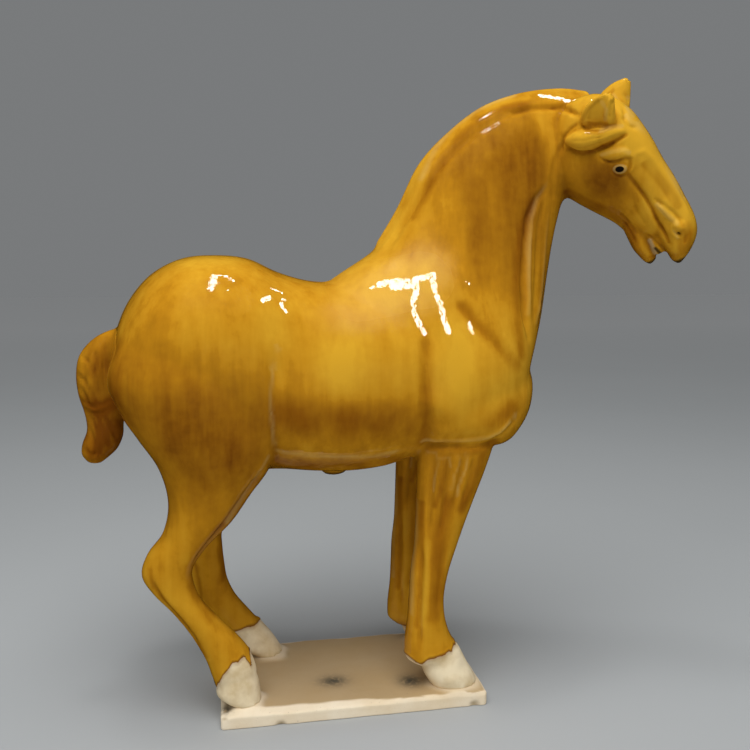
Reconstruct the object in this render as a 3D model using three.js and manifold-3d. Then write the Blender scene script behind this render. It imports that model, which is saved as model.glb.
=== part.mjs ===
// A glazed pottery tomb horse standing on a thin clay plate, in millimetres, +Z up, nose towards +X.
// The origin is the centre of the plate's underside.
import * as THREE from 'three';
import { LoftGeometry } from 'three/addons/geometries/LoftGeometry.js';
import { mergeVertices } from 'three/addons/utils/BufferGeometryUtils.js';
import Module from 'manifold-3d';

// Driving dimensions of the horse
const horseHeight = 394.7;
const headTurn = THREE.MathUtils.degToRad(40);
const headTilt = THREE.MathUtils.degToRad(18);

// Driving dimensions of the plate, which reaches past the stance of the hooves by its margins
const plateThickness = 10;
const plateEndMargin = 2.1;
const plateSideMargin = 3.1;
const plateCornerRadius = 3;
const plateEdgeBevel = 0.8;
const hoofClearance = 0.3;

// All tables of the figure are shares of its height, written for a study 394.7 tall from sole to ear tip
const studyHeight = 394.7;
const unit = horseHeight / studyHeight;

// Every mass of the body is a skin over ribs. A rib is a closed egg shaped section:
// [edge x, edge z, opposite edge x, opposite edge z, middle y, half width, egg shift, squareness]
const barrel = [
  [-146.5, 222, -146.5, 206, 0, 12, 0, 2],
  [-142, 240, -142, 192, 0, 34, 0, 2],
  [-134, 256, -134, 175, 0, 47, 0, 2],
  [-121, 270, -121, 160, 0, 56, 0.05, 2.1],
  [-103, 279, -103, 150, 0, 61, 0.1, 2.15],
  [-83, 281, -83, 145, 0, 63.5, 0.1, 2.2],
  [-63, 279, -63, 144, 0, 63, 0.05, 2.25],
  [-44, 270.5, -44, 144, 0, 61, 0, 2.3],
  [-24, 265, -24, 142, 0, 61, 0, 2.3],
  [-4, 264, -4, 141, 0, 61, 0, 2.3],
  [20, 264, 20, 143, 0, 60.5, 0, 2.3],
  [45, 262, 45, 149.5, 0, 59, 0, 2.3],
  [70, 255, 70, 155.5, 0, 55, 0, 2.3],
  [91, 240, 91, 158, 0, 48, -0.05, 2.25],
  [102, 225, 102, 161, 0, 38, -0.05, 2.2],
  [111.5, 216, 111.5, 168, 0, 27, -0.05, 2.1],
  [118, 208, 118, 177, 0, 16, 0, 2],
  [121.5, 201, 121.5, 186, 0, 6, 0, 2],
];

// One side of the breast, which stands out over the foreleg
const breast = [
  [34, 202, 34, 166, 32, 17, 0, 2],
  [50, 213, 50, 160, 31, 25, -0.1, 2.1],
  [70, 218, 70, 158.5, 28.5, 27, -0.15, 2.2],
  [90, 216, 90, 158, 26, 26, -0.15, 2.2],
  [102.5, 214, 102.5, 160, 22.5, 23, -0.1, 2.2],
  [112.5, 211.5, 112.5, 167.5, 18.5, 18.5, -0.05, 2.1],
  [119.5, 208.5, 119.5, 175, 15, 12.5, 0, 2],
  [123.5, 204, 123.5, 183, 12.5, 6.5, 0, 2],
];

const neck = [
  [-40, 240, 92, 158, 0, 60, -0.1, 2.4],
  [-8, 266, 115, 184, 0, 56, -0.15, 2.35],
  [21, 286.5, 124, 211, 0, 47, -0.2, 2.25],
  [35.5, 310.5, 131.5, 238, 0, 38.5, -0.2, 2.1],
  [49.5, 338.5, 136.5, 265, 0, 33, -0.15, 2],
  [67.5, 358.5, 140, 286, 0, 28.5, -0.1, 2],
  [91, 376.5, 143, 303, -1, 24.5, -0.1, 2],
  [117, 386, 146.5, 316.5, -3, 19.5, -0.05, 2],
  [143, 389.5, 153.5, 323, -4.5, 14.5, 0, 2],
  [162, 388, 164, 336, -6, 11, 0, 2],
];

// The hogged mane stands proud of the neck's crest as a low rounded band
const maneRise = 1.6;
const maneDepth = 8;
const maneHalfWidth = 5;
const maneStartRib = 2;

// Thigh, gaskin, hock, cannon and fetlock; the last column is the share of the stride at that rib
const hindLeg = [
  [-80, 252, -120, 248, 26, 14, 0, 2, 0],
  [-60, 232, -134.5, 237, 29, 26, 0, 2.1, 0],
  [-47, 202, -147, 209, 32, 32, 0, 2.1, 0],
  [-46, 174, -140.5, 188, 33, 31, 0, 2.1, 0.05],
  [-52, 152, -130, 171, 34, 26.5, 0, 2.1, 0.15],
  [-64, 135, -119, 153, 34, 20.8, 0, 2, 0.35],
  [-76, 118, -114, 132, 33.5, 16, 0, 2, 0.5],
  [-90.5, 103.5, -117.5, 113, 33, 13, 0.05, 2, 0.8],
  [-99.5, 91, -127, 100, 33, 11.6, 0.1, 2.1, 1],
  [-100.5, 82, -131, 87, 33, 11.1, 0.1, 2.1, 1.05],
  [-96, 69, -125, 75.5, 33, 10.7, 0.05, 2.1, 0.85],
  [-86, 56.5, -113.5, 62, 33, 10.5, 0, 2.1, 0.38],
  [-75, 44.5, -103, 47, 33, 10.6, 0, 2.1, 0.05],
  [-67, 34, -94.5, 31, 33, 11.3, 0, 2.1, 0.05],
  [-62.5, 22, -90, 17.5, 33, 12, 0, 2.1, 0.35],
  [-63, 13, -87, 10, 33, 10, 0, 2, 0.75],
];

const hindHoof = [
  [-66, 25, -87, 22, 33, 10.5, 0, 2.1, 0.5],
  [-61.5, 15, -88, 12, 33, 12.6, 0, 2.2, 0.7],
  [-60, 6, -87.5, 5.5, 33, 13.2, 0, 2.2, 0.95],
  [-60, 0, -78, 0, 33, 12.2, 0, 2.2, 1.1],
];
const farHindStride = 17;
const farForeStride = 3.5;

// Shoulder, forearm, knee, cannon and fetlock
const foreLeg = [
  [88, 192, 55, 194, 29, 13, 0, 2, 0.5],
  [93, 175, 46, 176, 31.5, 17, 0, 2.1, 0.4],
  [91, 161, 42, 162, 33, 18, 0, 2.2, 0.2],
  [85.5, 143.5, 41.5, 143, 33, 16.2, 0, 2.2, 0.1],
  [79, 126, 41, 126, 33, 14.5, 0, 2.1, 0.1],
  [73, 110, 40.5, 109, 33, 13.3, 0, 2.1, 0.1],
  [67.5, 94, 39.5, 93, 33, 12.4, 0, 2.1, 0.2],
  [62.5, 78, 37.5, 78, 33, 11.5, 0, 2.1, 0.3],
  [59.5, 62, 36.5, 62, 33, 10.9, 0, 2.1, 0.4],
  [60, 48, 35.5, 47, 33, 10.9, 0, 2.1, 0.5],
  [63, 36.5, 34, 35, 33, 11.3, 0, 2.1, 0.55],
  [67.5, 28, 33.5, 27, 33, 11.9, 0, 2.1, 0.55],
  [71.5, 21, 34.5, 19.5, 33, 12.3, 0, 2.1, 0.5],
  [72, 15, 41.5, 14.5, 33, 10, 0, 2, 0.5],
];

const foreHoof = [
  [70, 26, 44, 22, 33, 10.5, 0, 2.1, 0.3],
  [75.5, 15, 45, 12, 33, 13, 0, 2.2, 0.3],
  [80, 6, 48, 5, 33, 14, 0, 2.2, 0.3],
  [82.5, 0, 52, 0, 33, 13, 0, 2.2, 0.3],
];

// Tied tail: root, bound knot, then the free tuft that curls out at its tip
const tail = [
  [-134, 219, -137, 238, 0, 8, 0, 2],
  [-142, 213, -152, 233, 0, 9.5, 0, 2],
  [-144, 206, -161, 227, -0.5, 11, 0, 2],
  [-142.5, 200, -167.5, 218, -1, 12, 0, 2],
  [-141, 194.5, -169.5, 206, -1, 12, 0, 2],
  [-139.5, 189, -168.5, 194, -1, 11.3, 0, 2],
  [-138.5, 183.5, -166, 185, -1, 9.8, 0, 2],
  [-141.8, 177, -164.5, 177.5, -1, 10, 0, 2],
  [-142.6, 168, -164.5, 171, -1, 10.5, 0, 2],
  [-146, 160, -167.5, 163, -1, 10, 0, 2],
  [-151, 155, -168, 156.5, -1, 8.4, 0, 2],
  [-156.5, 150.8, -164.5, 151.5, -1, 5, 0, 2],
];

// The head has its own frame at the pivot: x forward, y to its left, z up, before it is turned and tilted
const headPivot = [154, -8, 339.5];

const skull = [
  [-9, 30, -18, 8, 0, 8, -0.2, 2],
  [-5, 38.5, -16.5, 2, 0, 13.5, -0.25, 2],
  [0, 43, -14, -4, 0, 17, -0.25, 2],
  [14, 46, -8, -15.5, 0, 20, -0.2, 2.1],
  [26.5, 42.8, 0, -22, 0, 20.5, -0.1, 2.1],
  [36.5, 35, 8.5, -27.5, 0, 20.5, 0.05, 2.2],
  [44, 24.5, 17, -32.5, 0, 19.5, 0.1, 2.2],
  [50.5, 13.5, 25, -37.5, 0, 17, 0.15, 2.2],
  [56, 2, 31, -43, 0, 14.5, 0.15, 2.2],
  [62.5, -9, 36, -49, 0, 12.5, 0.1, 2.2],
  [68, -20.5, 42, -51, 0, 11.2, 0.1, 2.2],
  [71.5, -29, 50, -49, 0, 9, 0, 2],
];

const upperLip = [
  [66, -17, 46.5, -42, 0, 10.5, 0, 2.2],
  [71, -26.5, 51.5, -48, 0, 11, 0, 2.2],
  [75, -35.5, 55.5, -53, 0, 12, 0, 2.2],
  [76.5, -44, 58.5, -58.5, 0, 12.2, 0, 2.2],
  [75.5, -50.5, 61, -63, 0, 11, 0, 2.1],
  [72.5, -57.5, 64, -65.3, 0, 8.5, 0, 2],
  [69.5, -62, 66, -65.8, 0, 4.5, 0, 2],
];

const lowerLip = [
  [44, -29, 30.5, -41.5, 0, 10.8, 0, 2.1],
  [47.5, -46, 36, -54, 0, 11, 0, 2.1],
  [49, -53, 40, -59.7, 0, 9.8, 0, 2.1],
  [50.6, -59.8, 43.5, -64, 0, 7.5, 0, 2],
  [50.5, -63.8, 47, -66.2, 0, 4.5, 0, 2],
];

const ear = [
  [32, 46.8, 28.5, 47.8, 18.5, 1.8, 0, 2],
  [32.2, 43, 20.5, 45.3, 18, 4, 0, 2],
  [32, 38, 13.8, 40.5, 17, 6, 0, 2],
  [31.8, 32.5, 10.4, 35, 15.5, 7.4, 0, 2],
  [31.5, 26, 10, 27, 13.5, 8, 0, 2],
];
const farEarRise = [2, 4];

// Locks of the parted forelock, swept back under the ears, from their tips to the forehead
const forelock = [
  [-1.5, 22, -1, 19.5, 15.5, 2.4, 0, 2],
  [3.5, 25, 4, 16, 17.5, 5.2, 0, 2],
  [9, 27, 10, 13.8, 19, 6.8, 0, 2],
  [17.5, 27.5, 18, 13.6, 19, 7, 0, 2],
  [26, 27.5, 25.5, 16.2, 18, 6.4, 0, 2],
  [33, 26, 31.5, 19.5, 15.5, 4.8, 0, 2],
  [37, 24.5, 36, 21.5, 13.5, 2.6, 0, 2],
];

// Brow, eyeball, nostril bulge and nostril hole as balls: [x, y, z, half sizes]
const brow = [29.5, 16, 10.2, 11, 5.4, 6];
const eyeball = [33.6, 16.6, 1, 5.9, 4, 4.6];
const nostrilBulge = [67, 8.5, -42, 6.5, 4.8, 8];
const nostrilHole = [68, 13.2, -42.5, 2.8, 2.6, 2.2];
const earHollowInset = 0.2;
const earHollowShift = 0.95;
const earHollowWidth = 0.75;
const sheath = [-8, 0, 141, 10, 6, 5];

// Carved lines, seen from the side as [x, z] points, with the radius of the cut
const bodyLines = [
  { radius: 2.4, points: [[132, 330], [121, 317], [115, 305], [112, 286], [110, 260], [112, 230]] },
  { radius: 2.2, points: [[-49, 206], [-50, 190], [-49, 174], [-46, 158]] },
  { radius: 1.5, points: [[42.5, 88], [41.8, 70], [41, 50], [41.5, 31]] },
  { radius: 1.5, points: [[53, 158], [52.5, 142], [51, 124]] },
  { radius: 1.5, points: [[62, 158], [60.5, 144], [58, 128]] },
  { radius: 1.4, points: [[71, 157], [69, 145], [66, 132]] },
  { radius: 1.3, points: [[-59, 151], [-70, 134], [-82, 117], [-92, 104], [-100, 93]] },
  { radius: 1.3, points: [[-125, 84], [-119, 73], [-108, 58], [-98, 42]] },
  { radius: 1.3, points: [[-164, 216], [-162.5, 206], [-163.5, 190]] },
  { radius: 1.3, points: [[-158, 221], [-156.5, 207], [-158, 190]] },
  { radius: 1.5, points: [[-163, 184], [-158, 172], [-152.5, 160]] },
  { radius: 1.5, points: [[-156.5, 183], [-150.5, 173], [-147.5, 165]] },
];
const headLines = [
  { radius: 1.4, points: [[40, -5], [45, -13], [50, -22], [55, -32], [59, -41]] },
  { radius: 1.3, points: [[54, -20], [60, -27], [66, -33.5], [70, -38.5]] },
];
const lineSides = 4;
const lineProbeReach = 200;

// How finely each skin is divided
const bodyAround = 20;
const headAround = 14;
const limbAround = 12;
const lipAround = 10;
const smallAround = 10;
const ballAround = 8;
const plateCornerSegments = 2;

// Points of a skin closer than this are one point
const weldDistance = 1e-4;

// A Catmull-Rom blend of four neighbouring ribs
function blend(before, from, to, after, t) {
  return from.map((value, i) => 0.5 * (
    2 * value
    + (to[i] - before[i]) * t
    + (2 * before[i] - 5 * value + 4 * to[i] - after[i]) * t * t
    + (3 * value - before[i] - 3 * to[i] + after[i]) * t * t * t
  ));
}

// The ribs with evenly blended ones between them
function fill(ribs, steps) {
  const rows = [];
  for (let i = 0; i < ribs.length - 1; i += 1) {
    const before = ribs[Math.max(i - 1, 0)];
    const after = ribs[Math.min(i + 2, ribs.length - 1)];
    for (let step = 0; step < steps; step += 1) {
      rows.push(blend(before, ribs[i], ribs[i + 1], after, step / steps));
    }
  }
  rows.push(ribs[ribs.length - 1]);
  return rows;
}

const signedPower = (value, power) => Math.sign(value) * Math.abs(value) ** power;

// The points of one rib: an egg with its edges at the two given points
function section([ax, az, bx, bz, y, width, shift, squareness], around) {
  const middle = new THREE.Vector3((ax + bx) / 2, y, (az + bz) / 2);
  const half = new THREE.Vector3((ax - bx) / 2, 0, (az - bz) / 2);
  const points = [];
  for (let i = 0; i < around; i += 1) {
    const angle = 2 * Math.PI * i / around;
    const up = signedPower(Math.cos(angle), 2 / squareness);
    const out = -signedPower(Math.sin(angle), 2 / squareness);
    const point = middle.clone().addScaledVector(half, up + shift * (1 - up * up));
    point.y += out * width;
    points.push(point);
  }
  return points;
}

const wasm = await Module();
wasm.setup();

// A closed geometry as a solid that can be joined and cut
function solid(geometry) {
  const bare = new THREE.BufferGeometry().copy(geometry);
  bare.deleteAttribute('normal');
  bare.deleteAttribute('uv');
  const merged = mergeVertices(bare, weldDistance);
  return new wasm.Manifold(new wasm.Mesh({
    numProp: 3,
    vertProperties: new Float32Array(merged.attributes.position.array),
    triVerts: new Uint32Array(merged.index.array),
  }));
}

// The skin over a table of ribs, with a flat end at both ends
function skin(ribs, around, steps = 2, place = (point) => point) {
  const sections = fill(ribs, steps).map((rib) => section(rib, around).map(place));
  return solid(new LoftGeometry(sections, { capStart: true, capEnd: true }));
}

const join = (solids) => solids.reduce((sum, next) => sum.add(next));

// The largest body of a cut solid, without the crumbs that the cuts leave
function largest(shape) {
  const bodies = shape.decompose();
  return bodies.reduce((most, body) => (body.volume() > most.volume() ? body : most));
}

const onSide = (ribs, side) => ribs.map((rib) => rib.with(4, rib[4] * side));

// A leg's ribs on one side, moved forward by their share of the stride
function leg(ribs, side, stride) {
  return ribs.map(([ax, az, bx, bz, y, width, shift, squareness, share]) => [
    ax + stride * share, az, bx + stride * share, bz, y * side, width, shift, squareness,
  ]);
}

// From the head's frame to the horse's
const headAxes = new THREE.Matrix4().makeTranslation(...headPivot)
  .multiply(new THREE.Matrix4().makeRotationZ(-headTurn))
  .multiply(new THREE.Matrix4().makeRotationX(headTilt));
const bodyAxes = new THREE.Matrix4();
const toHead = (point) => point.applyMatrix4(headAxes);

function ball([x, y, z, rx, ry, rz], side, axes) {
  const geometry = new THREE.SphereGeometry(1, ballAround, ballAround / 2);
  geometry.scale(rx, ry, rz);
  geometry.translate(x, y * side, z);
  geometry.applyMatrix4(axes);
  return solid(geometry);
}

function bareGeometry(shape) {
  const { vertProperties, triVerts } = shape.getMesh();
  const geometry = new THREE.BufferGeometry();
  geometry.setAttribute('position', new THREE.BufferAttribute(new Float32Array(vertProperties), 3));
  geometry.setIndex(new THREE.BufferAttribute(new Uint32Array(triVerts), 1));
  return geometry;
}

// The tube that cuts one carved line into the surface on one side
function lineCutter({ radius, points }, side, axes, target) {
  const inward = new THREE.Vector3(0, -side, 0).transformDirection(axes);
  const onSurface = points.map(([x, z]) => {
    const start = new THREE.Vector3(x, side * lineProbeReach, z).applyMatrix4(axes);
    return new THREE.Raycaster(start, inward).intersectObject(target)[0].point;
  });
  const outline = new THREE.Shape(new THREE.EllipseCurve(0, 0, radius, radius).getPoints(lineSides));
  return solid(new THREE.ExtrudeGeometry(outline, {
    steps: points.length,
    bevelEnabled: false,
    extrudePath: new THREE.CatmullRomCurve3(onSurface),
  }));
}

const farEar = ear.map(([ax, az, bx, bz, ...rest]) => [
  ax + farEarRise[0], az + farEarRise[1], bx + farEarRise[0], bz + farEarRise[1], ...rest]);

// The ear's hollow is a smaller ear moved outwards
function earHollow(ribs) {
  return ribs.map(([ax, az, bx, bz, y, width, ...rest]) => [
    ax + (bx - ax) * earHollowInset, az + (bz - az) * earHollowInset,
    bx + (ax - bx) * earHollowInset, bz + (az - bz) * earHollowInset,
    y + width * earHollowShift, width * earHollowWidth, ...rest,
  ]);
}

function makeHead() {
  const masses = [
    skin(skull, headAround, 2, toHead),
    skin(upperLip, lipAround, 2, toHead),
    skin(lowerLip, lipAround, 1, toHead),
  ];
  const hollows = [];
  for (const side of [-1, 1]) {
    const ribs = side > 0 ? farEar : ear;
    masses.push(
      skin(onSide(ribs, side), smallAround, 1, toHead),
      skin(onSide(forelock, side), smallAround, 1, toHead),
      ball(brow, side, headAxes),
      ball(eyeball, side, headAxes),
      ball(nostrilBulge, side, headAxes),
    );
    hollows.push(
      skin(onSide(earHollow(ribs), side), smallAround, 1, toHead),
      ball(nostrilHole, side, headAxes),
    );
  }
  return join(masses).subtract(join(hollows));
}

function makeMane() {
  const ribs = neck.slice(maneStartRib).map(([ax, az, bx, bz, y, , , squareness]) => {
    const length = Math.hypot(ax - bx, az - bz);
    const [dx, dz] = [(ax - bx) / length, (az - bz) / length];
    return [
      ax + dx * maneRise, az + dz * maneRise, ax - dx * maneDepth, az - dz * maneDepth,
      y, maneHalfWidth, 0, squareness,
    ];
  });
  return skin(ribs, smallAround, 1);
}

function makeHorse() {
  const masses = [
    skin(barrel, bodyAround, 1),
    skin(neck, bodyAround, 2),
    skin(tail, limbAround, 1),
    makeMane(),
    makeHead(),
    ball(sheath, 1, bodyAxes),
  ];
  for (const side of [-1, 1]) {
    const hindStride = side > 0 ? farHindStride : 0;
    const foreStride = side > 0 ? farForeStride : 0;
    masses.push(
      skin(onSide(breast, side), limbAround, 1),
      skin(leg(hindLeg, side, hindStride), limbAround, 1),
      skin(leg(hindHoof, side, hindStride), limbAround, 1),
      skin(leg(foreLeg, side, foreStride), limbAround, 1),
      skin(leg(foreHoof, side, foreStride), limbAround, 1),
    );
  }
  const whole = join(masses);
  const target = new THREE.Mesh(bareGeometry(whole), new THREE.MeshBasicMaterial({ side: THREE.DoubleSide }));
  const cutters = [-1, 1].flatMap((side) => [
    ...bodyLines.map((line) => lineCutter(line, side, bodyAxes, target)),
    ...headLines.map((line) => lineCutter(line, side, headAxes, target)),
  ]);
  return largest(whole.subtract(join(cutters)));
}

// A named mesh from a finished solid
function mesh(name, shape, material) {
  const geometry = bareGeometry(shape);
  geometry.computeVertexNormals();
  const result = new THREE.Mesh(geometry, material);
  result.name = name;
  return result;
}

const glaze = new THREE.MeshStandardMaterial({ color: 0xbe8214, roughness: 0.15, metalness: 0 });
const clay = new THREE.MeshStandardMaterial({ color: 0xd9c39a, roughness: 0.85, metalness: 0 });

const horse = mesh('horse', makeHorse(), glaze);
horse.scale.setScalar(unit);
horse.position.z = plateThickness + hoofClearance;

// How far the hooves reach, from the tables, so that the plate follows them
const soles = [-1, 1].flatMap((side) => [
  leg(hindHoof, side, side > 0 ? farHindStride : 0).at(-1),
  leg(foreHoof, side, side > 0 ? farForeStride : 0).at(-1),
]);
const soleFront = unit * Math.max(...soles.map((rib) => Math.max(rib[0], rib[2])));
const soleBack = unit * Math.min(...soles.map((rib) => Math.min(rib[0], rib[2])));
const soleSide = unit * Math.max(...soles.map((rib) => Math.abs(rib[4]) + rib[5]));

// A plate with rounded corners and broken edges, in plan round the soles
function makePlate() {
  const halfLength = Math.max(soleFront, -soleBack) + plateEndMargin - plateEdgeBevel;
  const halfWidth = soleSide + plateSideMargin - plateEdgeBevel;
  const straightX = halfLength - plateCornerRadius;
  const straightY = halfWidth - plateCornerRadius;
  const outline = new THREE.Shape();
  outline.moveTo(-straightX, -halfWidth);
  outline.lineTo(straightX, -halfWidth);
  outline.absarc(straightX, -straightY, plateCornerRadius, -Math.PI / 2, 0);
  outline.absarc(straightX, straightY, plateCornerRadius, 0, Math.PI / 2);
  outline.absarc(-straightX, straightY, plateCornerRadius, Math.PI / 2, Math.PI);
  outline.absarc(-straightX, -straightY, plateCornerRadius, Math.PI, 1.5 * Math.PI);
  const geometry = new THREE.ExtrudeGeometry(outline, {
    depth: plateThickness - 2 * plateEdgeBevel,
    bevelThickness: plateEdgeBevel,
    bevelSize: plateEdgeBevel,
    bevelSegments: 1,
    curveSegments: plateCornerSegments,
  });
  geometry.translate(0, 0, plateEdgeBevel);
  return geometry;
}

const plate = new THREE.Mesh(makePlate(), clay);
plate.name = 'base_plate';

const group = new THREE.Group();
group.add(horse, plate);

export default group;
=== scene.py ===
import math

import bmesh
import bpy
import numpy as np
from bpy.props import FloatProperty, FloatVectorProperty, IntProperty, PointerProperty
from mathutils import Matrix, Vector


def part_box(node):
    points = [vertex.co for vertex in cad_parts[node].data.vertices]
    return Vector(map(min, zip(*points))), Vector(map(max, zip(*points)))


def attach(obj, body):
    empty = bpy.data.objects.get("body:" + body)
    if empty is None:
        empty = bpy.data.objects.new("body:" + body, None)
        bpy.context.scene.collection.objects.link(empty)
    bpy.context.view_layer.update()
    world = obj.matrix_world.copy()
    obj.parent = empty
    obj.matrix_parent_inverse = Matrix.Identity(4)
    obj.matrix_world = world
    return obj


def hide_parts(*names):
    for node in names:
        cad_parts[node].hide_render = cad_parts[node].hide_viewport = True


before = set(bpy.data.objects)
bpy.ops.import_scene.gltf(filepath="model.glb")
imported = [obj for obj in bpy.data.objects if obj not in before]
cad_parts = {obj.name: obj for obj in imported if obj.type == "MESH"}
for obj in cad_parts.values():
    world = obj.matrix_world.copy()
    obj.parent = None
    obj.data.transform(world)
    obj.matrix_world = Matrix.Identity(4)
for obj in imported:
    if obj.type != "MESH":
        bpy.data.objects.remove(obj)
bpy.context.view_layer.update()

bl_info = {
    "name": "Glazed Pottery Horse",
    "version": (1, 0, 0),
    "blender": (4, 5, 0),
    "location": "View3D > Sidebar > Pottery Horse",
    "description": "Builds a glazed horse figure, its clay plate and a plain studio round a packed frame",
    "category": "Add Mesh",
}

MM = 0.001
SOLE_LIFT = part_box("horse")[0][2] / MM

# Ribs of the skins: edge x, edge z, opposite edge x, opposite edge z, middle y, half width, egg shift,
# squareness. A leg's ribs end with their share of the stride.
BARREL = [
    [-146.5, 222, -146.5, 206, 0, 12, 0, 2], [-142, 240, -142, 192, 0, 34, 0, 2],
    [-134, 256, -134, 175, 0, 47, 0, 2], [-121, 270, -121, 160, 0, 56, 0.05, 2.1],
    [-103, 279, -103, 150, 0, 61, 0.1, 2.15], [-83, 281, -83, 145, 0, 63.5, 0.1, 2.2],
    [-63, 279, -63, 144, 0, 63, 0.05, 2.25], [-44, 270.5, -44, 144, 0, 61, 0, 2.3],
    [-24, 265, -24, 142, 0, 61, 0, 2.3], [-4, 264, -4, 141, 0, 61, 0, 2.3],
    [20, 264, 20, 143, 0, 60.5, 0, 2.3], [45, 262, 45, 149.5, 0, 59, 0, 2.3],
    [70, 255, 70, 155.5, 0, 55, 0, 2.3], [91, 240, 91, 158, 0, 48, -0.05, 2.25],
    [102, 225, 102, 161, 0, 38, -0.05, 2.2], [111.5, 216, 111.5, 168, 0, 27, -0.05, 2.1],
    [118, 208, 118, 177, 0, 16, 0, 2], [121.5, 201, 121.5, 186, 0, 6, 0, 2],
]
BREAST = [
    [34, 202, 34, 166, 32, 17, 0, 2], [50, 213, 50, 160, 31, 25, -0.1, 2.1],
    [70, 218, 70, 158.5, 28.5, 27, -0.15, 2.2], [90, 216, 90, 158, 26, 26, -0.15, 2.2],
    [102.5, 214, 102.5, 160, 22.5, 23, -0.1, 2.2], [112.5, 211.5, 112.5, 167.5, 18.5, 18.5, -0.05, 2.1],
    [119.5, 208.5, 119.5, 175, 15, 12.5, 0, 2], [123.5, 204, 123.5, 183, 12.5, 6.5, 0, 2],
]
NECK = [
    [-40, 240, 92, 158, 0, 60, -0.1, 2.4], [-8, 266, 115, 184, 0, 56, -0.15, 2.35],
    [21, 286.5, 124, 211, 0, 47, -0.2, 2.25], [35.5, 310.5, 131.5, 238, 0, 38.5, -0.2, 2.1],
    [49.5, 338.5, 136.5, 265, 0, 33, -0.15, 2], [67.5, 358.5, 140, 286, 0, 28.5, -0.1, 2],
    [91, 376.5, 143, 303, -1, 24.5, -0.1, 2], [117, 386, 146.5, 316.5, -3, 19.5, -0.05, 2],
    [143, 389.5, 153.5, 323, -4.5, 14.5, 0, 2], [162, 388, 164, 336, -6, 11, 0, 2],
]
HIND_LEG = [
    [-80, 252, -120, 248, 26, 14, 0, 2, 0], [-60, 232, -134.5, 237, 29, 26, 0, 2.1, 0],
    [-47, 202, -147, 209, 32, 32, 0, 2.1, 0], [-46, 174, -140.5, 188, 33, 31, 0, 2.1, 0.05],
    [-52, 152, -130, 171, 34, 26.5, 0, 2.1, 0.15], [-64, 135, -119, 153, 34, 20.8, 0, 2, 0.35],
    [-76, 118, -114, 132, 33.5, 16, 0, 2, 0.5], [-90.5, 103.5, -117.5, 113, 33, 13, 0.05, 2, 0.8],
    [-99.5, 91, -127, 100, 33, 11.6, 0.1, 2.1, 1], [-100.5, 82, -131, 87, 33, 11.1, 0.1, 2.1, 1.05],
    [-96, 69, -125, 75.5, 33, 10.7, 0.05, 2.1, 0.85], [-86, 56.5, -113.5, 62, 33, 10.5, 0, 2.1, 0.38],
    [-75, 44.5, -103, 47, 33, 10.6, 0, 2.1, 0.05], [-67, 34, -94.5, 31, 33, 11.3, 0, 2.1, 0.05],
    [-62.5, 22, -90, 17.5, 33, 12, 0, 2.1, 0.35], [-63, 13, -87, 10, 33, 10, 0, 2, 0.75],
]
HIND_HOOF = [
    [-66, 25, -87, 22, 33, 10.5, 0, 2.1, 0.5], [-61.5, 15, -88, 12, 33, 12.6, 0, 2.2, 0.7],
    [-60, 6, -87.5, 5.5, 33, 13.2, 0, 2.2, 0.95], [-60, 0, -78, 0, 33, 12.2, 0, 2.2, 1.1],
]
FORE_LEG = [
    [88, 192, 55, 194, 29, 13, 0, 2, 0.5], [93, 175, 46, 176, 31.5, 17, 0, 2.1, 0.4],
    [91, 161, 42, 162, 33, 18, 0, 2.2, 0.2], [85.5, 143.5, 41.5, 143, 33, 16.2, 0, 2.2, 0.1],
    [79, 126, 41, 126, 33, 14.5, 0, 2.1, 0.1], [73, 110, 40.5, 109, 33, 13.3, 0, 2.1, 0.1],
    [67.5, 94, 39.5, 93, 33, 12.4, 0, 2.1, 0.2], [62.5, 78, 37.5, 78, 33, 11.5, 0, 2.1, 0.3],
    [59.5, 62, 36.5, 62, 33, 10.9, 0, 2.1, 0.4], [60, 48, 35.5, 47, 33, 10.9, 0, 2.1, 0.5],
    [63, 36.5, 34, 35, 33, 11.3, 0, 2.1, 0.55], [67.5, 28, 33.5, 27, 33, 11.9, 0, 2.1, 0.55],
    [71.5, 21, 34.5, 19.5, 33, 12.3, 0, 2.1, 0.5], [72, 15, 41.5, 14.5, 33, 10, 0, 2, 0.5],
]
FORE_HOOF = [
    [70, 26, 44, 22, 33, 10.5, 0, 2.1, 0.3], [75.5, 15, 45, 12, 33, 13, 0, 2.2, 0.3],
    [80, 6, 48, 5, 33, 14, 0, 2.2, 0.3], [82.5, 0, 52, 0, 33, 13, 0, 2.2, 0.3],
]
TAIL = [
    [-134, 219, -137, 238, 0, 8, 0, 2], [-142, 213, -152, 233, 0, 9.5, 0, 2],
    [-144, 206, -161, 227, -0.5, 11, 0, 2], [-142.5, 200, -167.5, 218, -1, 12, 0, 2],
    [-141, 194.5, -169.5, 206, -1, 12, 0, 2], [-139.5, 189, -168.5, 194, -1, 11.3, 0, 2],
    [-138.5, 183.5, -166, 185, -1, 9.8, 0, 2], [-141.8, 177, -164.5, 177.5, -1, 10, 0, 2],
    [-142.6, 168, -164.5, 171, -1, 10.5, 0, 2], [-146, 160, -167.5, 163, -1, 10, 0, 2],
    [-151, 155, -168, 156.5, -1, 8.4, 0, 2], [-156.5, 150.8, -164.5, 151.5, -1, 5, 0, 2],
]
# A ball's middle and radii
SHEATH = [-8, 0, 141, 10, 6, 5]
MANE_RISE = 1.6
MANE_DEPTH = 8
MANE_HALF_WIDTH = 5
LEG_Y = 33
FAR_HIND_STRIDE = 17
FAR_FORE_STRIDE = 3.5
# Share of the stride by height: heights, shares
HIND_STRIDE = [
    [0, 15, 30, 45, 56, 69, 85, 92, 104, 118, 135, 200],
    [1.1, 0.7, 0.1, 0.05, 0.4, 0.85, 1.05, 1, 0.8, 0.5, 0.35, 0],
]
FORE_STRIDE = [[0, 30, 60, 90, 150, 190], [0.3, 0.55, 0.4, 0.2, 0.1, 0]]

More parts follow.
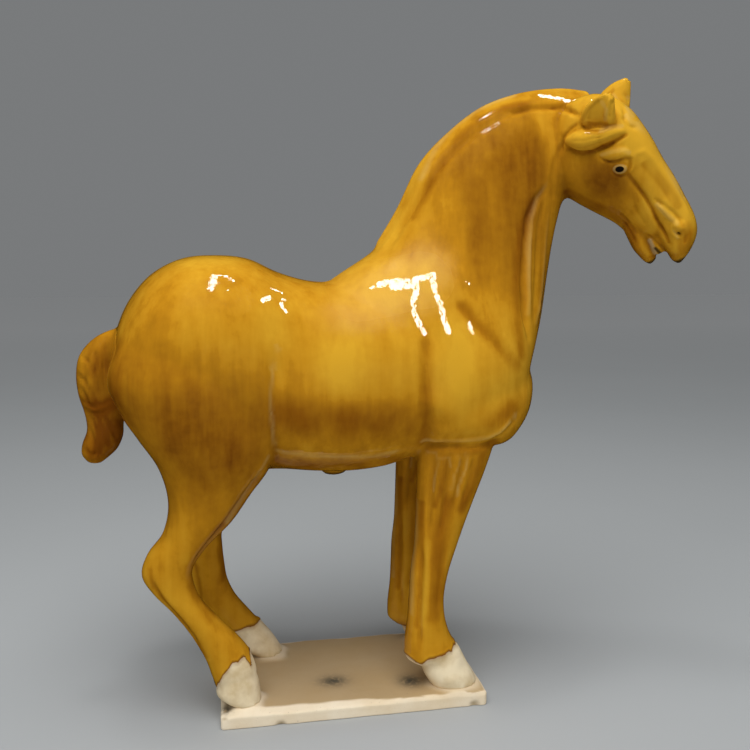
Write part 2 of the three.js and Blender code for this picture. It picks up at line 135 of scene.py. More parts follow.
# The head's own frame: x forward, y to its left, z up, tilted and then turned at the pivot
HEAD_PIVOT = np.array([154, -8, 339.5])
HEAD_TURN = math.radians(-40)
HEAD_TILT = math.radians(18)
SKULL = [
    [-9, 30, -18, 8, 0, 8, -0.2, 2], [-5, 38.5, -16.5, 2, 0, 13.5, -0.25, 2],
    [0, 43, -14, -4, 0, 17, -0.25, 2], [14, 46, -8, -15.5, 0, 20, -0.2, 2.1],
    [26.5, 42.8, 0, -22, 0, 20.5, -0.1, 2.1], [36.5, 35, 8.5, -27.5, 0, 20.5, 0.05, 2.2],
    [44, 24.5, 17, -32.5, 0, 19.5, 0.1, 2.2], [50.5, 13.5, 25, -37.5, 0, 17, 0.15, 2.2],
    [56, 2, 31, -43, 0, 14.5, 0.15, 2.2], [62.5, -9, 36, -49, 0, 12.5, 0.1, 2.2],
    [68, -20.5, 42, -51, 0, 11.2, 0.1, 2.2], [71.5, -29, 50, -49, 0, 9, 0, 2],
]
UPPER_LIP = [
    [66, -17, 46.5, -42, 0, 10.5, 0, 2.2], [71, -26.5, 51.5, -48, 0, 11, 0, 2.2],
    [75, -35.5, 55.5, -53, 0, 12, 0, 2.2], [76.5, -44, 58.5, -58.5, 0, 12.2, 0, 2.2],
    [75.5, -50.5, 61, -63, 0, 11, 0, 2.1], [72.5, -57.5, 64, -65.3, 0, 8.5, 0, 2],
    [69.5, -62, 66, -65.8, 0, 4.5, 0, 2],
]
LOWER_LIP = [
    [44, -29, 30.5, -41.5, 0, 10.8, 0, 2.1], [47.5, -46, 36, -54, 0, 11, 0, 2.1],
    [49, -53, 40, -59.7, 0, 9.8, 0, 2.1], [50.6, -59.8, 43.5, -64, 0, 7.5, 0, 2],
    [50.5, -63.8, 47, -66.2, 0, 4.5, 0, 2],
]
# Gums and front teeth seen in the open corner of the mouth
TEETH = [
    [50, -40, 44, -45, 0, 8.4, 0, 2.3], [55, -46, 46, -52, 0, 8.2, 0, 2.5],
    [58, -52, 49, -57, 0, 7.4, 0, 2.5], [58.5, -56, 51, -60, 0, 6, 0, 2.3],
]
EAR = [
    [32, 46.8, 28.5, 47.8, 18.5, 1.8, 0, 2], [32.2, 43, 20.5, 45.3, 18, 4, 0, 2],
    [32, 38, 13.8, 40.5, 17, 6, 0, 2], [31.8, 32.5, 10.4, 35, 15.5, 7.4, 0, 2],
    [31.5, 26, 10, 27, 13.5, 8, 0, 2],
]
FAR_EAR_RISE = [2, 4]
EAR_CUP = 0.55
FORELOCK = [
    [-1.5, 22, -1, 19.5, 15.5, 2.4, 0, 2], [3.5, 25, 4, 16, 17.5, 5.2, 0, 2],
    [9, 27, 10, 13.8, 19, 6.8, 0, 2], [17.5, 27.5, 18, 13.6, 19, 7, 0, 2],
    [26, 27.5, 25.5, 16.2, 18, 6.4, 0, 2], [33, 26, 31.5, 19.5, 15.5, 4.8, 0, 2],
    [37, 24.5, 36, 21.5, 13.5, 2.6, 0, 2],
]
BROW = [29.5, 16, 10.2, 11, 5.4, 6]
EYEBALL = [33.6, 16.6, 1, 5.9, 4, 4.6]
NOSTRIL_BULGE = [67, 8.5, -42, 6.5, 4.8, 8]
# The hole in it: x, z, reach along x, reach along z, height
NOSTRIL = [67.4, -43.4, 1.6, 1.2, -2.4]
PUPIL = [34.1, 1.1]
PUPIL_REACH = [2.6, 1.8]

# Soft swellings and hollows: x, z, reach along x, reach along z, height
BODY_SWELLS = [
    [70, 206, 24, 30, 2.2], [58, 262, 16, 18, 1], [-100, 214, 30, 42, 1.4], [-50, 252, 13, 12, 1.3],
    [-34, 226, 15, 24, -1.8], [-62, 166, 13, 18, 1.3], [40, 300, 30, 22, -0.8], [118, 198, 10, 12, 0.6],
    [72, 14, 5, 4, -0.9], [62, 7, 5, 3, 0.6], [-72, 9, 5, 5, -0.7],
]
HEAD_SWELLS = [
    [7, 0, 15, 16, 1.6], [28, -12, 9, 8, -0.8], [50, -32, 5, 9, 0.7], [62, -29, 4.5, 9, 1.3],
    [22, 18, 7, 5, -0.6],
]
# Lines worked into the clay, seen from the side: depth (ridges above nought), width, x and z of each point
BODY_LINES = [
    [-2.9, 2.2, 136, 334, 131, 327, 121.3, 317.7, 114.6, 305.4, 111.6, 285.8, 109.5, 263, 109.9, 246,
     113, 229],
    [-0.8, 6, 118, 312, 109, 300, 105, 282, 104, 262],
    [1.2, 1.8, 129, 328, 121.8, 318, 116.5, 304, 114.5, 288, 113.6, 268, 113.4, 244],
    [1.1, 1.8, 136, 324, 131.8, 312, 129.6, 297, 128, 277, 125.8, 257, 121, 238],
    [-1, 1.8, 133, 326, 126.5, 315, 122.5, 300, 121, 280, 119.8, 258, 117.5, 240],
    [-1.9, 3.4, 41.5, 232, 40.7, 212, 41.5, 194, 43.2, 175, 44.5, 164],
    [0.9, 5, 42, 270, 48, 256, 55, 238, 62, 222],
    [-1, 3.2, 58, 256, 66, 246, 78, 234, 90, 222, 99, 211, 106, 198, 109.5, 188],
    [0.8, 3, 72, 254, 84, 240, 96, 226, 105, 212],
    [0.9, 1.3, 41, 165.5, 52, 167, 67.5, 166.6, 81.6, 167.4, 90, 170.6, 97, 176.6, 102.7, 180.5],
    [-0.7, 1.4, 86, 166, 93, 169.5, 100, 176, 105, 182],
    [-1.9, 1.5, 44, 163, 59, 163, 73, 162, 84.5, 163, 92, 165],
    [-1.8, 2.2, -50, 222, -50.9, 203, -51.8, 185, -51.1, 173, -48.5, 158],
    [0.7, 2.6, -46, 206, -44.5, 190, -45, 174], [0.9, 2.4, -46, 152, -28, 147.5, 0, 146, 30, 149],
    [-1.9, 1.5, 42.5, 96, 41.8, 76, 41, 54, 41.5, 30], [0.5, 1.6, 46.5, 90, 46, 70, 45.5, 52],
    [-1.5, 1.4, 49, 158, 48.5, 144, 47, 124, 46, 108], [0.7, 1.3, 54, 158, 53.5, 142, 52, 120],
    [-1.5, 1.4, 58, 158, 57.5, 143, 55, 120, 53, 104], [0.7, 1.3, 63, 157, 61.5, 144, 59, 128],
    [-1.4, 1.3, 67, 157, 65.5, 144, 62.5, 126], [-1, 1.3, 74, 156, 72, 143, 68, 128],
    [-0.6, 2.4, 56, 96, 54, 74, 52, 50], [-1.5, 1.6, -59, 151, -70, 134, -82, 117, -92, 104, -100, 93],
    [-0.8, 2.2, -124, 140, -117, 124, -118, 110], [-1.4, 1.5, -125, 86, -119, 73, -108, 58, -98, 42],
    [-0.6, 2, -104, 84, -98, 72, -90, 60, -82, 48],
]
TAIL_LINES = [
    [-1.2, 1.6, -150, 229, -151, 219, -152, 208, -151.5, 198, -150, 189],
    [-1.3, 1.1, -157, 223, -155.5, 216, -156.5, 208, -155, 200, -153.5, 192],
    [-1.1, 1, -164.5, 219, -160, 215.5, -157, 210], [-0.9, 1, -159, 222, -163, 213, -162.5, 206, -164, 199],
    [-1.2, 1, -167.5, 208, -162, 203, -159, 197, -157, 190], [-1, 1, -166.5, 200, -163, 194, -161.5, 188],
    [0.8, 1.2, -161, 206, -160, 198, -158.5, 191],
    [-0.8, 1.2, -167, 192, -159, 187.5, -152, 189.5, -147, 192],
    [-0.7, 1.1, -164.5, 186, -158, 183.5, -152, 185, -146, 188],
    [0.8, 1, -164, 189, -158.5, 185.6, -152, 187.2],
    [-1.5, 1.3, -161.5, 182.5, -158.3, 175.5, -155.8, 168, -155.2, 161, -157, 155],
    [-1.5, 1.3, -156.8, 182.5, -154, 175, -151, 168, -149.9, 162],
    [-1.3, 1.2, -152.5, 182.5, -149.8, 177, -146.6, 170.5, -145.5, 166],
    [-1.3, 1.1, -161.5, 174, -159.6, 167, -158.6, 160, -160.5, 155],
    [0.7, 1.2, -159.6, 178, -156.5, 170, -154.3, 163], [-1, 1, -164.5, 161, -161.5, 157.5, -158.5, 158.5],
]
HEAD_LINES = [
    [-1.8, 1.6, -22, 43.5, -17, 42.4, -8, 40.7, 0.5, 38.8, 8, 35.5],
    [-1.1, 1.8, 39, -3.4, 42.2, -9, 45.5, -14.4, 48.8, -20.5, 51.6, -26.7, 53.8, -33.3, 56.7, -39.9,
     59.1, -44.6, 62, -50],
    [-0.6, 0.9, 44.5, -12.5, 48.8, -20.5, 51.6, -26.7, 53.8, -33.3, 56.7, -39.9, 59.1, -44.6],
    [-0.9, 1.1, 53.5, -20.4, 58.7, -25.3, 63.4, -29.4, 67.6, -34.1, 70.3, -38],
    [0.9, 1.7, 55.8, -24.4, 60.6, -30.9, 65.5, -36.1, 67, -39],
    [0.6, 1.8, 40.5, 8.6, 47.3, 9.6, 53, 3.5, 59.6, -7.2, 65.2, -17.7, 70.5, -28.5, 73.4, -38],
    [-0.5, 3.2, 44, 3, 50, -2.5, 56, -12, 61.5, -22], [-0.6, 1.1, 70.1, -39.7, 71.4, -44.2, 71.1, -50.2],
    [-0.95, 0.9, 22.5, 9.3, 25, 7.4, 28.1, 6.2, 33.1, 6.3, 37.4, 7.4, 40.3, 6.6, 40.2, 2.3, 38.8, -1.5],
    [0.5, 0.9, 38.4, 9.4, 41.8, 7, 41.8, 2.4, 40.2, -1.6],
    [-0.4, 0.8, 29.6, 0.8, 31.2, -2.4, 34.3, -3.7, 37.6, -2.7],
    [-1.1, 1.5, -0.6, 22, -3, 18, -6.1, 9.2, -7.4, -0.4, -6.7, -10.7, -2, -16],
    [-0.7, 1.2, 32.3, -34.2, 36.8, -40.8, 40.2, -48.3],
    [-0.5, 1.2, 31.4, -27.8, 34.8, -32.8, 38.8, -38.5, 42.3, -44.2],
    [-0.35, 1.4, 40.8, -22.6, 42.9, -28.8, 45.7, -33.7, 47.3, -37.3],
    [-0.7, 0.9, 47.2, -43.6, 51.4, -47.6, 54.6, -51.4, 57.6, -56],
    [-0.5, 0.8, 46.6, -46, 48.4, -52.6, 50.4, -59], [-0.9, 0.9, 64.6, -41.8, 67.4, -43, 69.2, -45.4],
    [0.5, 0.9, 63.6, -38.6, 67.2, -38.4, 70.6, -41], [-0.7, 1, 2, 17.4, 9.9, 14.4, 19.3, 13.2],
    [-0.4, 2.2, 23, 27, 22.5, 23.5, 23.4, 19, 24.5, 15.5],
    [-0.9, 1.2, 9, 31, 3, 27.5, -1.5, 23, -2.6, 18.5, -1, 14],
    [-1.3, 1, 19.3, 13.2, 27.3, 15.6, 33, 18.8, 37.6, 21],
    [-0.9, 0.9, 9.5, 29.5, 14.9, 27.7, 20.5, 26.8, 25.2, 27, 30, 28.6],
    [-0.35, 0.7, 6, 17.8, 14, 17, 24, 18.6, 32, 22], [-0.3, 0.7, 5, 21.6, 14, 21.4, 24, 22.4, 31, 24.4],
    [-0.9, 0.9, 31, 43, 34.4, 36.5, 37.4, 29], [-0.8, 0.8, 34.5, 43, 37.4, 36.5, 40.4, 29.5],
    [-0.9, 1, 34.6, 32, 38.8, 26, 42.9, 23.3], [-0.6, 0.8, 40, 38, 41.4, 33, 43, 27.5],
]
EAR_LINES = [
    [0.8, 1, 26.6, 33, 28.2, 39, 30, 44.5], [-0.6, 0.8, 29.2, 32.6, 30.3, 38, 31.4, 43],
    [-0.5, 1.3, 15.5, 32, 17.5, 38, 23.5, 43.5],
]
MANE_LINES = [
    [-2.1, 1.7, 22, 281, 36, 303, 48, 321, 57.9, 336.2, 71.4, 349.5, 85, 360.9, 104.6, 371.7, 128.6, 377.6,
     148, 377, 162, 374],
]
# Places where the glaze lies thin, brown, milky or dull, or is touched with black, seen from the side, the
# thin and milky marks being painted highlights too, mostly along ridges, edges and tops: half width, x and z
# of each point
HEAD_MARKS = {
    "dark_mark": [
        [1.1, 52.2, -54, 54, -56.4, 55.8, -59.6], [2.4, 64, -65, 70, -62.5], [2, 46, -65.8, 50.5, -64.2],
        [0.7, 67, -43.2, 68, -43.8],
    ],
    "pale_mark": [
        [1.3, 48.8, -48.4, 50.2, -52.4, 51.6, -57.8],
    ],
    "milky_mark": [
        [1.2, 24.8, 42.6, 27.6, 38, 26.4, 32], [1.2, 24.3, 26.4, 30, 26.8, 35, 26.4],
        [1.1, 23.7, 10.9, 30.7, 12.5, 37.1, 12.6, 39.6, 10.5], [0.7, 33, 40.5, 36.3, 35.5, 39.8, 30],
        [0.8, 36.6, 32.5, 40.4, 27, 44, 24.8],
        [3, 44.8, 25.6, 51.4, 19, 58.2, 5.5, 65.1, -10.3, 71.2, -21.4],
        [1.5, 54.6, -24.2, 59.8, -30.6, 66.4, -36.6], [0.8, 64.6, -41, 66.8, -46],
    ],
    "warm_mark": [
        [1.5, 12, 30, 17, 26, 25, 25.4, 31, 27.5], [1.3, 12.5, 33, 16, 39.5, 24, 45.5],
        [4, 70.2, -40, 71.6, -45, 70.6, -52, 71, -58], [3, 26, -26, 33, -33.5, 37.5, -42, 40, -52, 44, -60],
        [4, 62, -61, 70, -60], [3, 44, -62, 50, -62], [3.5, 0, -13, 11.6, -21, 22.4, -26.5, 31, -33],
        [1.1, 39, -3.4, 45.5, -14.4, 51.6, -26.7, 56.7, -39.9, 61, -49],
        [1.2, 2, 15.4, 12, 12.6, 22, 14.5, 30.5, 17.4, 37.6, 21], [1.4, 13, 31, 19, 29.5, 27, 28.8],
        [2.4, 49, 2, 55, -6.5, 60, -14.5, 66, -26.5],
    ],
    "thin_mark": [
        [5, 14, 32, 20, 40, 27, 45], [4, 0, 21, 14, 21, 30, 23],
        [3.5, 40, 14, 48, 8, 58, -7, 68, -25, 73, -38], [4, 24, 11, 36, 10], [2.5, 58, -27, 66, -38],
        [5, 28, 47, 38, 36, 46, 22],
    ],
}
BODY_MARKS = {
    "dark_mark": [
        [2.2, -17, 137.2, -8, 136.2, -1, 137.2],
    ],
    "warm_mark": [
        [3.4, 40.4, 228, 40, 212, 39.5, 197, 40.5, 180, 41, 166],
        [2.2, 142, 378, 121, 378.8, 103.6, 376, 88, 368.5, 75.7, 358.5, 64.6, 346, 52, 326, 42, 306],
        [3.2, 117, 314, 111.2, 300, 107.4, 282, 105, 258, 104, 236, 106, 218],
        [10, -48, 188, -28, 183, 0, 181, 28, 180], [3.5, -47, 156, -28, 152, 0, 151, 28, 153],
        [3.2, 66, 249, 75, 237, 88, 225, 102, 212], [2.4, 46, 160, 60, 160, 76, 159.5, 90, 162],
        [5, 84, 178, 98, 186], [2.6, -61, 146, -73, 129, -91, 108, -101, 93, -100, 77, -91, 59],
        [1.6, -125, 92, -123, 81, -113, 66, -102, 50, -94, 34],
        [4, -139, 228, -141, 212, -141, 196, -138, 184], [4, -165, 168, -160, 155],
        [4, -163, 190, -154, 186, -147, 190], [1.5, 55, 158, 55, 144, 53, 133, 50, 124],
        [3.2, 81, 160, 78.5, 149, 74.4, 135, 68, 122],
        [4.2, 58, 126, 54.6, 113, 53.4, 99, 52, 84, 53.5, 66, 50, 50],
        [1.3, 43, 125, 42.6, 102, 40.6, 79, 39.4, 44],
    ],
    "milky_mark": [
        [0.6, 44.7, 157.5, 46.6, 159, 50, 158, 51.2, 151, 49.4, 142, 48.8, 133],
        [0.6, 51.6, 155.2, 57.6, 155.4, 58.8, 149.5], [0.6, 63.4, 157, 64.2, 151, 60.7, 143, 60.1, 135],
        [0.6, 68.3, 158, 69.2, 149, 64.4, 136, 63.7, 130],
        [0.9, 41, 165.8, 52, 167.2, 67.5, 166.8, 81.6, 167.6, 90, 170.8, 97, 176.8, 102.7, 180.8],
        [1.1, -48, 163.5, -31, 160, -10, 158.2, 11, 157.2, 26, 160],
        [0.8, -48.2, 228, -50.8, 215, -52.7, 199, -52.2, 185, -50.3, 168],
        [1.1, 129, 328, 121.8, 318, 116.8, 304, 114.8, 288, 113.8, 268, 113.6, 244],
        [1.2, 136, 324, 131.9, 312, 129.7, 297, 128.2, 277, 126, 257, 121, 238],
        [1.2, 48, 330, 59.5, 351, 71, 364, 85, 374.5, 99, 381.5, 112, 385.5],
        [0.9, -54.5, 161, -61.5, 149, -68.6, 135, -79, 119], [0.7, 40.4, 125, 40.2, 102, 38, 80, 37, 51],
    ],
    "thin_mark": [
        [5, 24, 289, 40, 319, 56, 345, 75, 362, 100, 378, 130, 386, 150, 385], [13, 64, 206, 84, 194],
        [8, -100, 274, -70, 278], [3.2, 129, 317, 122.5, 300, 120, 280, 119, 250], [12, -96, 236, -84, 222],
        [14, 10, 262, 50, 268], [13, -10, 210, 14, 202], [3, -119, 68, -106, 50, -94, 34],
        [4.5, -163, 216, -160, 204], [2.5, -162, 172, -163, 164], [2, 46, 100, 44.5, 70, 43, 45],
        [6, 66, 50, 60, 34],
    ],
    "dull_mark": [
        [17, 2, 258, 22, 262, 44, 266],
    ],
}
# Streaks that shine, because the glaze there faces halfway between window and viewer, in the same form
SHINE_LINES = [
    [0.9, 10.6, 260.2, 14.3, 262, 18.4, 263.5],
    [1.9, 16, 262.6, 23.1, 264.2, 29.2, 265, 35.8, 264.4, 40.3, 266, 45.8, 267.2, 49, 268.2],
    [2.3, 24, 261, 30.4, 261.8, 37, 263], [2, 38.3, 264, 37.4, 258.6, 36.4, 255.6, 34.9, 251.2],
    [1.8, 34.9, 251.2, 34.8, 246.3, 36.5, 241.3, 38.6, 236.7, 40.2, 234],
    [1.9, 48.7, 267.6, 48.6, 263.6, 49.3, 257.4, 51.5, 250.5, 52.3, 244.1, 53.8, 237.6, 54.8, 234],
    [0.7, 69.4, 240.1, 69.4, 236.5], [1.7, 69.5, 237.4, 69.9, 233.4], [0.7, 69.4, 263.6, 70.9, 262.9],
    [2, -83.4, 267, -84, 263.5, -85.1, 260.4], [0.6, -80.5, 268, -76.3, 267.6, -72, 264.5],
    [0.7, -75.7, 259.4, -75.2, 259.1], [1.5, -56.3, 253.2, -52.2, 254.6], [1.5, -45.1, 251, -42.8, 247.4],
    [0.6, -50.4, 260, -44.1, 257.4], [0.7, -44.6, 253.9, -43.2, 253.3],
    [1.3, 127, 384.6, 136.3, 383.4, 146, 381.2],
]
# Where the glaze lies broadly deeper, with painted shade, or thinner below nought, with painted light: x, z,
# reach along x, reach along z, amount
BODY_POOLS_AND_SHADE = [
    [114, 346, 44, 36, 0.48], [88, 328, 50, 38, 0.36], [95, 275, 40, 34, 0.36], [-96, 190, 38, 42, 0.75],
    [-80, 150, 30, 28, 0.2], [-78, 119, 14, 18, 0.1], [-12, 184, 40, 14, 0.3], [64, 138, 20, 24, 0.25],
    [-152, 168, 15, 17, 1.1], [-158, 208, 12, 24, 0.75], [-46, 240, 30, 22, -0.2], [62, 235, 28, 18, -0.3],
    [104, 205, 16, 22, -0.3], [28, 262, 30, 16, -0.3], [0, 225, 40, 20, -0.15], [58, 210, 24, 22, -0.2],
]
HEAD_POOLS_AND_SHADE = [
    [22, -3, 15, 17, 0.75], [33, -12, 12, 12, 0.25], [40, -48, 10, 14, 0.3], [-4, 0, 8, 30, 0.3],
    [44, 20, 14, 12, -0.5], [62, -20, 14, 24, -0.3], [52, 8, 14, 26, -0.25], [22, 38, 14, 12, -0.3],
]
# Where the glaze stops above each hoof: side, hoof middle x, height, rise to the front, ragged reach, and the
# runs below that line: direction and half width in degrees, length
GLAZE_STOPS = [
    [-1, -78, 29.5, 3.5, 1.6, [200, 40, 15], [-32, 8, 8], [-84, 12, -2]],
    [1, -57, 26, 3.5, 1.5, [35, 9, 6], [140, 14, 5]],
    [-1, 60, 25.5, 3, 1.8, [-150, 12, 6], [-35, 10, 2.5], [20, 12, 4]],
    [1, 61, 24, 2, 1.6, [120, 10, 7], [30, 9, 5], [-165, 40, 9]],
]
FAR_ABOVE = 20
# Thickness of the coat of glaze, and of the bead along its end
COAT = 0.35
COAT_EDGE = 0.45

PLATE_EDGE = 1.0
PLATE_CORNER = 2.6
PLATE_AROUND = 640
# Chips in the plate's edges: x, y, z above the underside, radius
PLATE_CHIPS = [
    [-48.7, -49.4, 0.2, 3], [77.1, -49.4, 1.2, 3.2], [-83.5, -49.2, 7.6, 2], [85.5, 12, 8.8, 1.7],
    [-20, 49.2, 0.4, 2], [31, 49.4, 8.9, 1.6],
]
# Places on the plate: x, y, reach along x, reach along y, and for the dark patches and the dent an amount;
# the last patch is painted shade in the dent under the near hind heel
PLATE_DARK_PATCHES = [
    [39, -27, 8, 8, 1], [-11.6, -17.6, 9, 7, 1], [-82, -40, 4.5, 5.5, 1],
]
PLATE_DENT = [-82, -40, 4, 5, -1.6]
HOOF_MIDDLES = [
    [-69, -33, 9.5, 12.4], [-50.3, 33, 9.5, 12.4], [67.3, -33, 15.6, 13.2], [68.3, 33, 15.6, 13.2],
]
WINDOW_PLACE = (-0.125, -0.07, 1.4)
CAMERA_PLACE = (-0.0789, -0.5336, 0.277)
CAMERA_ANGLES = (math.radians(83.25), 0.0, math.radians(-10.5))
CAMERA_LENS = 39.36
CAMERA_SENSOR = 36.0
FLOOR_REACH = 12.0

RIB_STEPS = 6
BALL_AROUND = 32
# How sharp a hollow has to be for a fillet, and how far that spreads
BODY_JOIN = 0.05, 10
HEAD_JOIN = 0.12, 2
# Sockets of a mixing node by what it mixes: first, second, result
MIX_SOCKETS = {"FLOAT": (2, 3, 0), "VECTOR": (4, 5, 1), "RGBA": (6, 7, 2)}


def head_axes(turn, tilt):
    """The head's axes as columns: a tilt about x, then a turn about z."""
    c, s, u, v = math.cos(turn), math.sin(turn), math.cos(tilt), math.sin(tilt)
    return np.array([[c, -s * u, s * v], [s, c * u, -c * v], [0, v, u]])


HEAD_AXES = head_axes(HEAD_TURN, HEAD_TILT)


def from_head(points):
    return points @ HEAD_AXES.T + HEAD_PIVOT


def to_head(points):
    return (points - HEAD_PIVOT) @ HEAD_AXES


def smooth_step(value, low, high):
    """Rises from 0 at low to 1 at high as 3t² − 2t³."""
    t = np.clip((value - low) / (high - low), 0, 1)
    return t * t * (3 - 2 * t)


def blended(ribs):
    """Catmull-Rom rows from rib b to c: ½(2b + (c − a)t + (2a − 5b + 4c − d)t² + (3b − a − 3c + d)t³)."""
    ribs = np.asarray(ribs, float)
    a = np.vstack([ribs[:1], ribs[:-2]])[:, None]
    b, c = ribs[:-1, None], ribs[1:, None]
    d = np.vstack([ribs[2:], ribs[-1:]])[:, None]
    t = (np.arange(RIB_STEPS) / RIB_STEPS)[None, :, None]
    rows = 2 * b + (c - a) * t + (2 * a - 5 * b + 4 * c - d) * t ** 2 + (3 * b - a - 3 * c + d) * t ** 3
    return np.vstack([0.5 * rows.reshape(-1, ribs.shape[1]), ribs[-1:]])


def tube_faces(rows, around):
    """Quads between neighbouring rows of a closed tube, and one face across each end."""
    row, place = np.meshgrid(np.arange(rows - 1), np.arange(around), indexing="ij")
    here = row * around + place
    beside = row * around + (place + 1) % around
    quads = np.stack([here, beside, beside + around, here + around], axis=-1).reshape(-1, 4)
    last = (rows - 1) * around
    return quads.tolist() + [list(range(around))[::-1], list(range(last, last + around))]


def skin(ribs, side=1, stride=0, around=48, cup=0):
    """Egg sections carried along blended ribs: point = middle + half·(up + shift·(1 − up²)), and to the side
    y + out·width, with up = cos(a)^(2/squareness) and out = −sin(a)^(2/squareness), signs kept. A cup presses
    the outer half in by cup·exp(−(up/0.6)⁴)."""
    rows = blended(ribs)
    ax, az, bx, bz, y, width, shift, square = (rows[:, k, None] for k in range(8))
    move = stride * rows[:, 8, None] if rows.shape[1] > 8 else 0
    angle = 2 * np.pi * np.arange(around)[None] / around
    c, s = np.cos(angle), -np.sin(angle)
    up = np.sign(c) * np.abs(c) ** (2 / square)
    out = np.sign(s) * np.abs(s) ** (2 / square)
    out = np.where(out > 0, out * (1 - cup * np.exp(-(up / 0.6) ** 4)), out)
    egg = up + shift * (1 - up ** 2)
    x = (ax + bx) / 2 + move + (ax - bx) / 2 * egg
    z = (az + bz) / 2 + (az - bz) / 2 * egg
    points = np.stack([x, side * (y + out * width), z], axis=-1)
    return points.reshape(-1, 3), tube_faces(len(rows), around)


def ball(values, side=1):
    """An ellipsoid: middle + (rx·sin v·cos u, ry·sin v·sin u, rz·cos v), its poles a hair wide."""
    x, y, z, rx, ry, rz = values
    v = np.linspace(0.02, np.pi - 0.02, BALL_AROUND // 2)[:, None]
    u = 2 * np.pi * np.arange(BALL_AROUND)[None] / BALL_AROUND
    ring = [x + rx * np.sin(v) * np.cos(u), side * y + ry * np.sin(v) * np.sin(u), z + rz * np.cos(v) + 0 * u]
    return np.stack(ring, axis=-1).reshape(-1, 3), tube_faces(len(v), BALL_AROUND)


def mane_ribs():
    """The neck's ribs cut down to a band: from the crest out by the rise and in by the depth."""
    ribs = np.array(NECK[2:], float)
    across = ribs[:, :2] - ribs[:, 2:4]
    across /= np.linalg.norm(across, axis=1)[:, None]
    ribs[:, 2:4] = ribs[:, :2] - across * MANE_DEPTH
    ribs[:, :2] += across * MANE_RISE
    ribs[:, 5:7] = MANE_HALF_WIDTH, 0
    return ribs


def head_masses():
    """The head's masses, made in its own frame and set in place."""
    masses = [skin(ribs) for ribs in (SKULL, UPPER_LIP, LOWER_LIP, TEETH)]
    for side in (-1, 1):
        ear = np.array(EAR, float)
        if side > 0:
            ear[:, :4] += FAR_EAR_RISE * 2  # x and z of both edges
        masses += [skin(ear, side, cup=EAR_CUP), skin(FORELOCK, side)]
        masses += [ball(values, side) for values in (BROW, EYEBALL, NOSTRIL_BULGE)]
    return [(from_head(points), faces) for points, faces in masses]


def body_masses():
    masses = [skin(BARREL, around=96), skin(NECK, around=96), skin(mane_ribs()), skin(TAIL), ball(SHEATH)]
    for side, hind, fore in ((-1, 0, 0), (1, FAR_HIND_STRIDE, FAR_FORE_STRIDE)):
        masses.append(skin(BREAST, side))
        masses += [skin(ribs, side, hind) for ribs in (HIND_LEG, HIND_HOOF)]
        masses += [skin(ribs, side, fore) for ribs in (FORE_LEG, FORE_HOOF)]
    return masses


def joined(masses):
    """All masses as one list of points and one of faces, each mass's faces counted on from the last."""
    start, faces = 0, []
    for points, own in masses:
        faces += [[start + corner for corner in face] for face in own]
        start += len(points)
    return np.vstack([points for points, _ in masses]), faces


def linked(name, data):
    """A new object in the scene, with its origin at the frame's origin."""
    obj = bpy.data.objects.new(name, data)
    bpy.context.scene.collection.objects.link(obj)
    return obj


def modified(mesh, kind, **settings):
    """A new mesh as one modifier leaves it, in place of the given one."""
    obj = linked("scratch", mesh)
    modifier = obj.modifiers.new("Change", kind)
    for key, value in settings.items():
        setattr(modifier, key, value)
    graph = bpy.context.evaluated_depsgraph_get()
    changed = bpy.data.meshes.new_from_object(obj.evaluated_get(graph), depsgraph=graph)
    bpy.data.objects.remove(obj)
    bpy.data.meshes.remove(mesh)
    return changed


def rows_of(items, key, width=3, kind=np.float32):
    row = np.empty(width * len(items), kind)
    items.foreach_get(key, row)
    return row.reshape(-1, width)


def arrays(mesh):
    """A mesh's points, their normals, and the point numbers of its edges."""
    points = rows_of(mesh.vertices, "co").astype(float)
    normals = rows_of(mesh.vertex_normals, "vector").astype(float)
    return points, normals, rows_of(mesh.edges, "vertices", 2, np.int32)


def set_points(mesh, points):
    mesh.vertices.foreach_set("co", points.astype(np.float32).ravel())
    mesh.update()


def neighbour_mean(values, edges):
    """The mean of each point's neighbours along the edges."""
    values = values.reshape(len(values), -1)
    ends, others = edges.ravel(), edges[:, ::-1].ravel()
    count = np.bincount(ends, minlength=len(values))[:, None]
    total = [np.bincount(ends, column[others], len(values)) for column in values.T]
    return np.stack(total, axis=1) / np.maximum(count, 1)


def curvature(points, normals, edges):
    """Above nought in hollows: twice the normal part of neighbours' mean − point, over mean edge²."""
    squared = np.sum((points[edges[:, 0]] - points[edges[:, 1]]) ** 2, axis=1)
    size = np.bincount(edges.ravel(), np.repeat(squared, 2), len(points))
    size /= np.maximum(np.bincount(edges.ravel(), minlength=len(points)), 1)
    return 2 * np.sum((neighbour_mean(points, edges) - points) * normals, axis=1) / size


def fillet(mesh, points, join, passes, share):
    """Softens sharp inner corners: points near them move half way to their neighbours' mean, many times."""
    sharp, spread = join
    _, normals, edges = arrays(mesh)
    near = smooth_step(curvature(points, normals, edges), sharp, 2 * sharp)
    for _ in range(spread):
        near = np.maximum(near, 0.93 * neighbour_mean(near, edges)[:, 0] + 0.04 * near)
    near = np.clip(near * 2.2, 0, 1) * share
    for _ in range(passes):
        points = points + 0.5 * near[:, None] * (neighbour_mean(points, edges) - points)
    set_points(mesh, points)
    return points


def line_reach(places, line):
    """Distance from each place to a line of straight pieces, and how far along it the nearest spot lies."""
    line = np.reshape(np.asarray(line, float), (-1, 2))
    steps = np.linalg.norm(np.diff(line, axis=0), axis=1)
    done = np.concatenate([[0], np.cumsum(steps)])
    best = np.full(len(places), np.inf)
    along = np.zeros(len(places))
    for start, end, length, before in zip(line[:-1], line[1:], steps, done):
        share = np.clip((places - start) @ (end - start) / length ** 2, 0, 1)
        reach = np.linalg.norm(places - start - share[:, None] * (end - start), axis=1)
        closer = reach < best
        best = np.where(closer, reach, best)
        along = np.where(closer, (before + share * length) / done[-1], along)
    return best, along


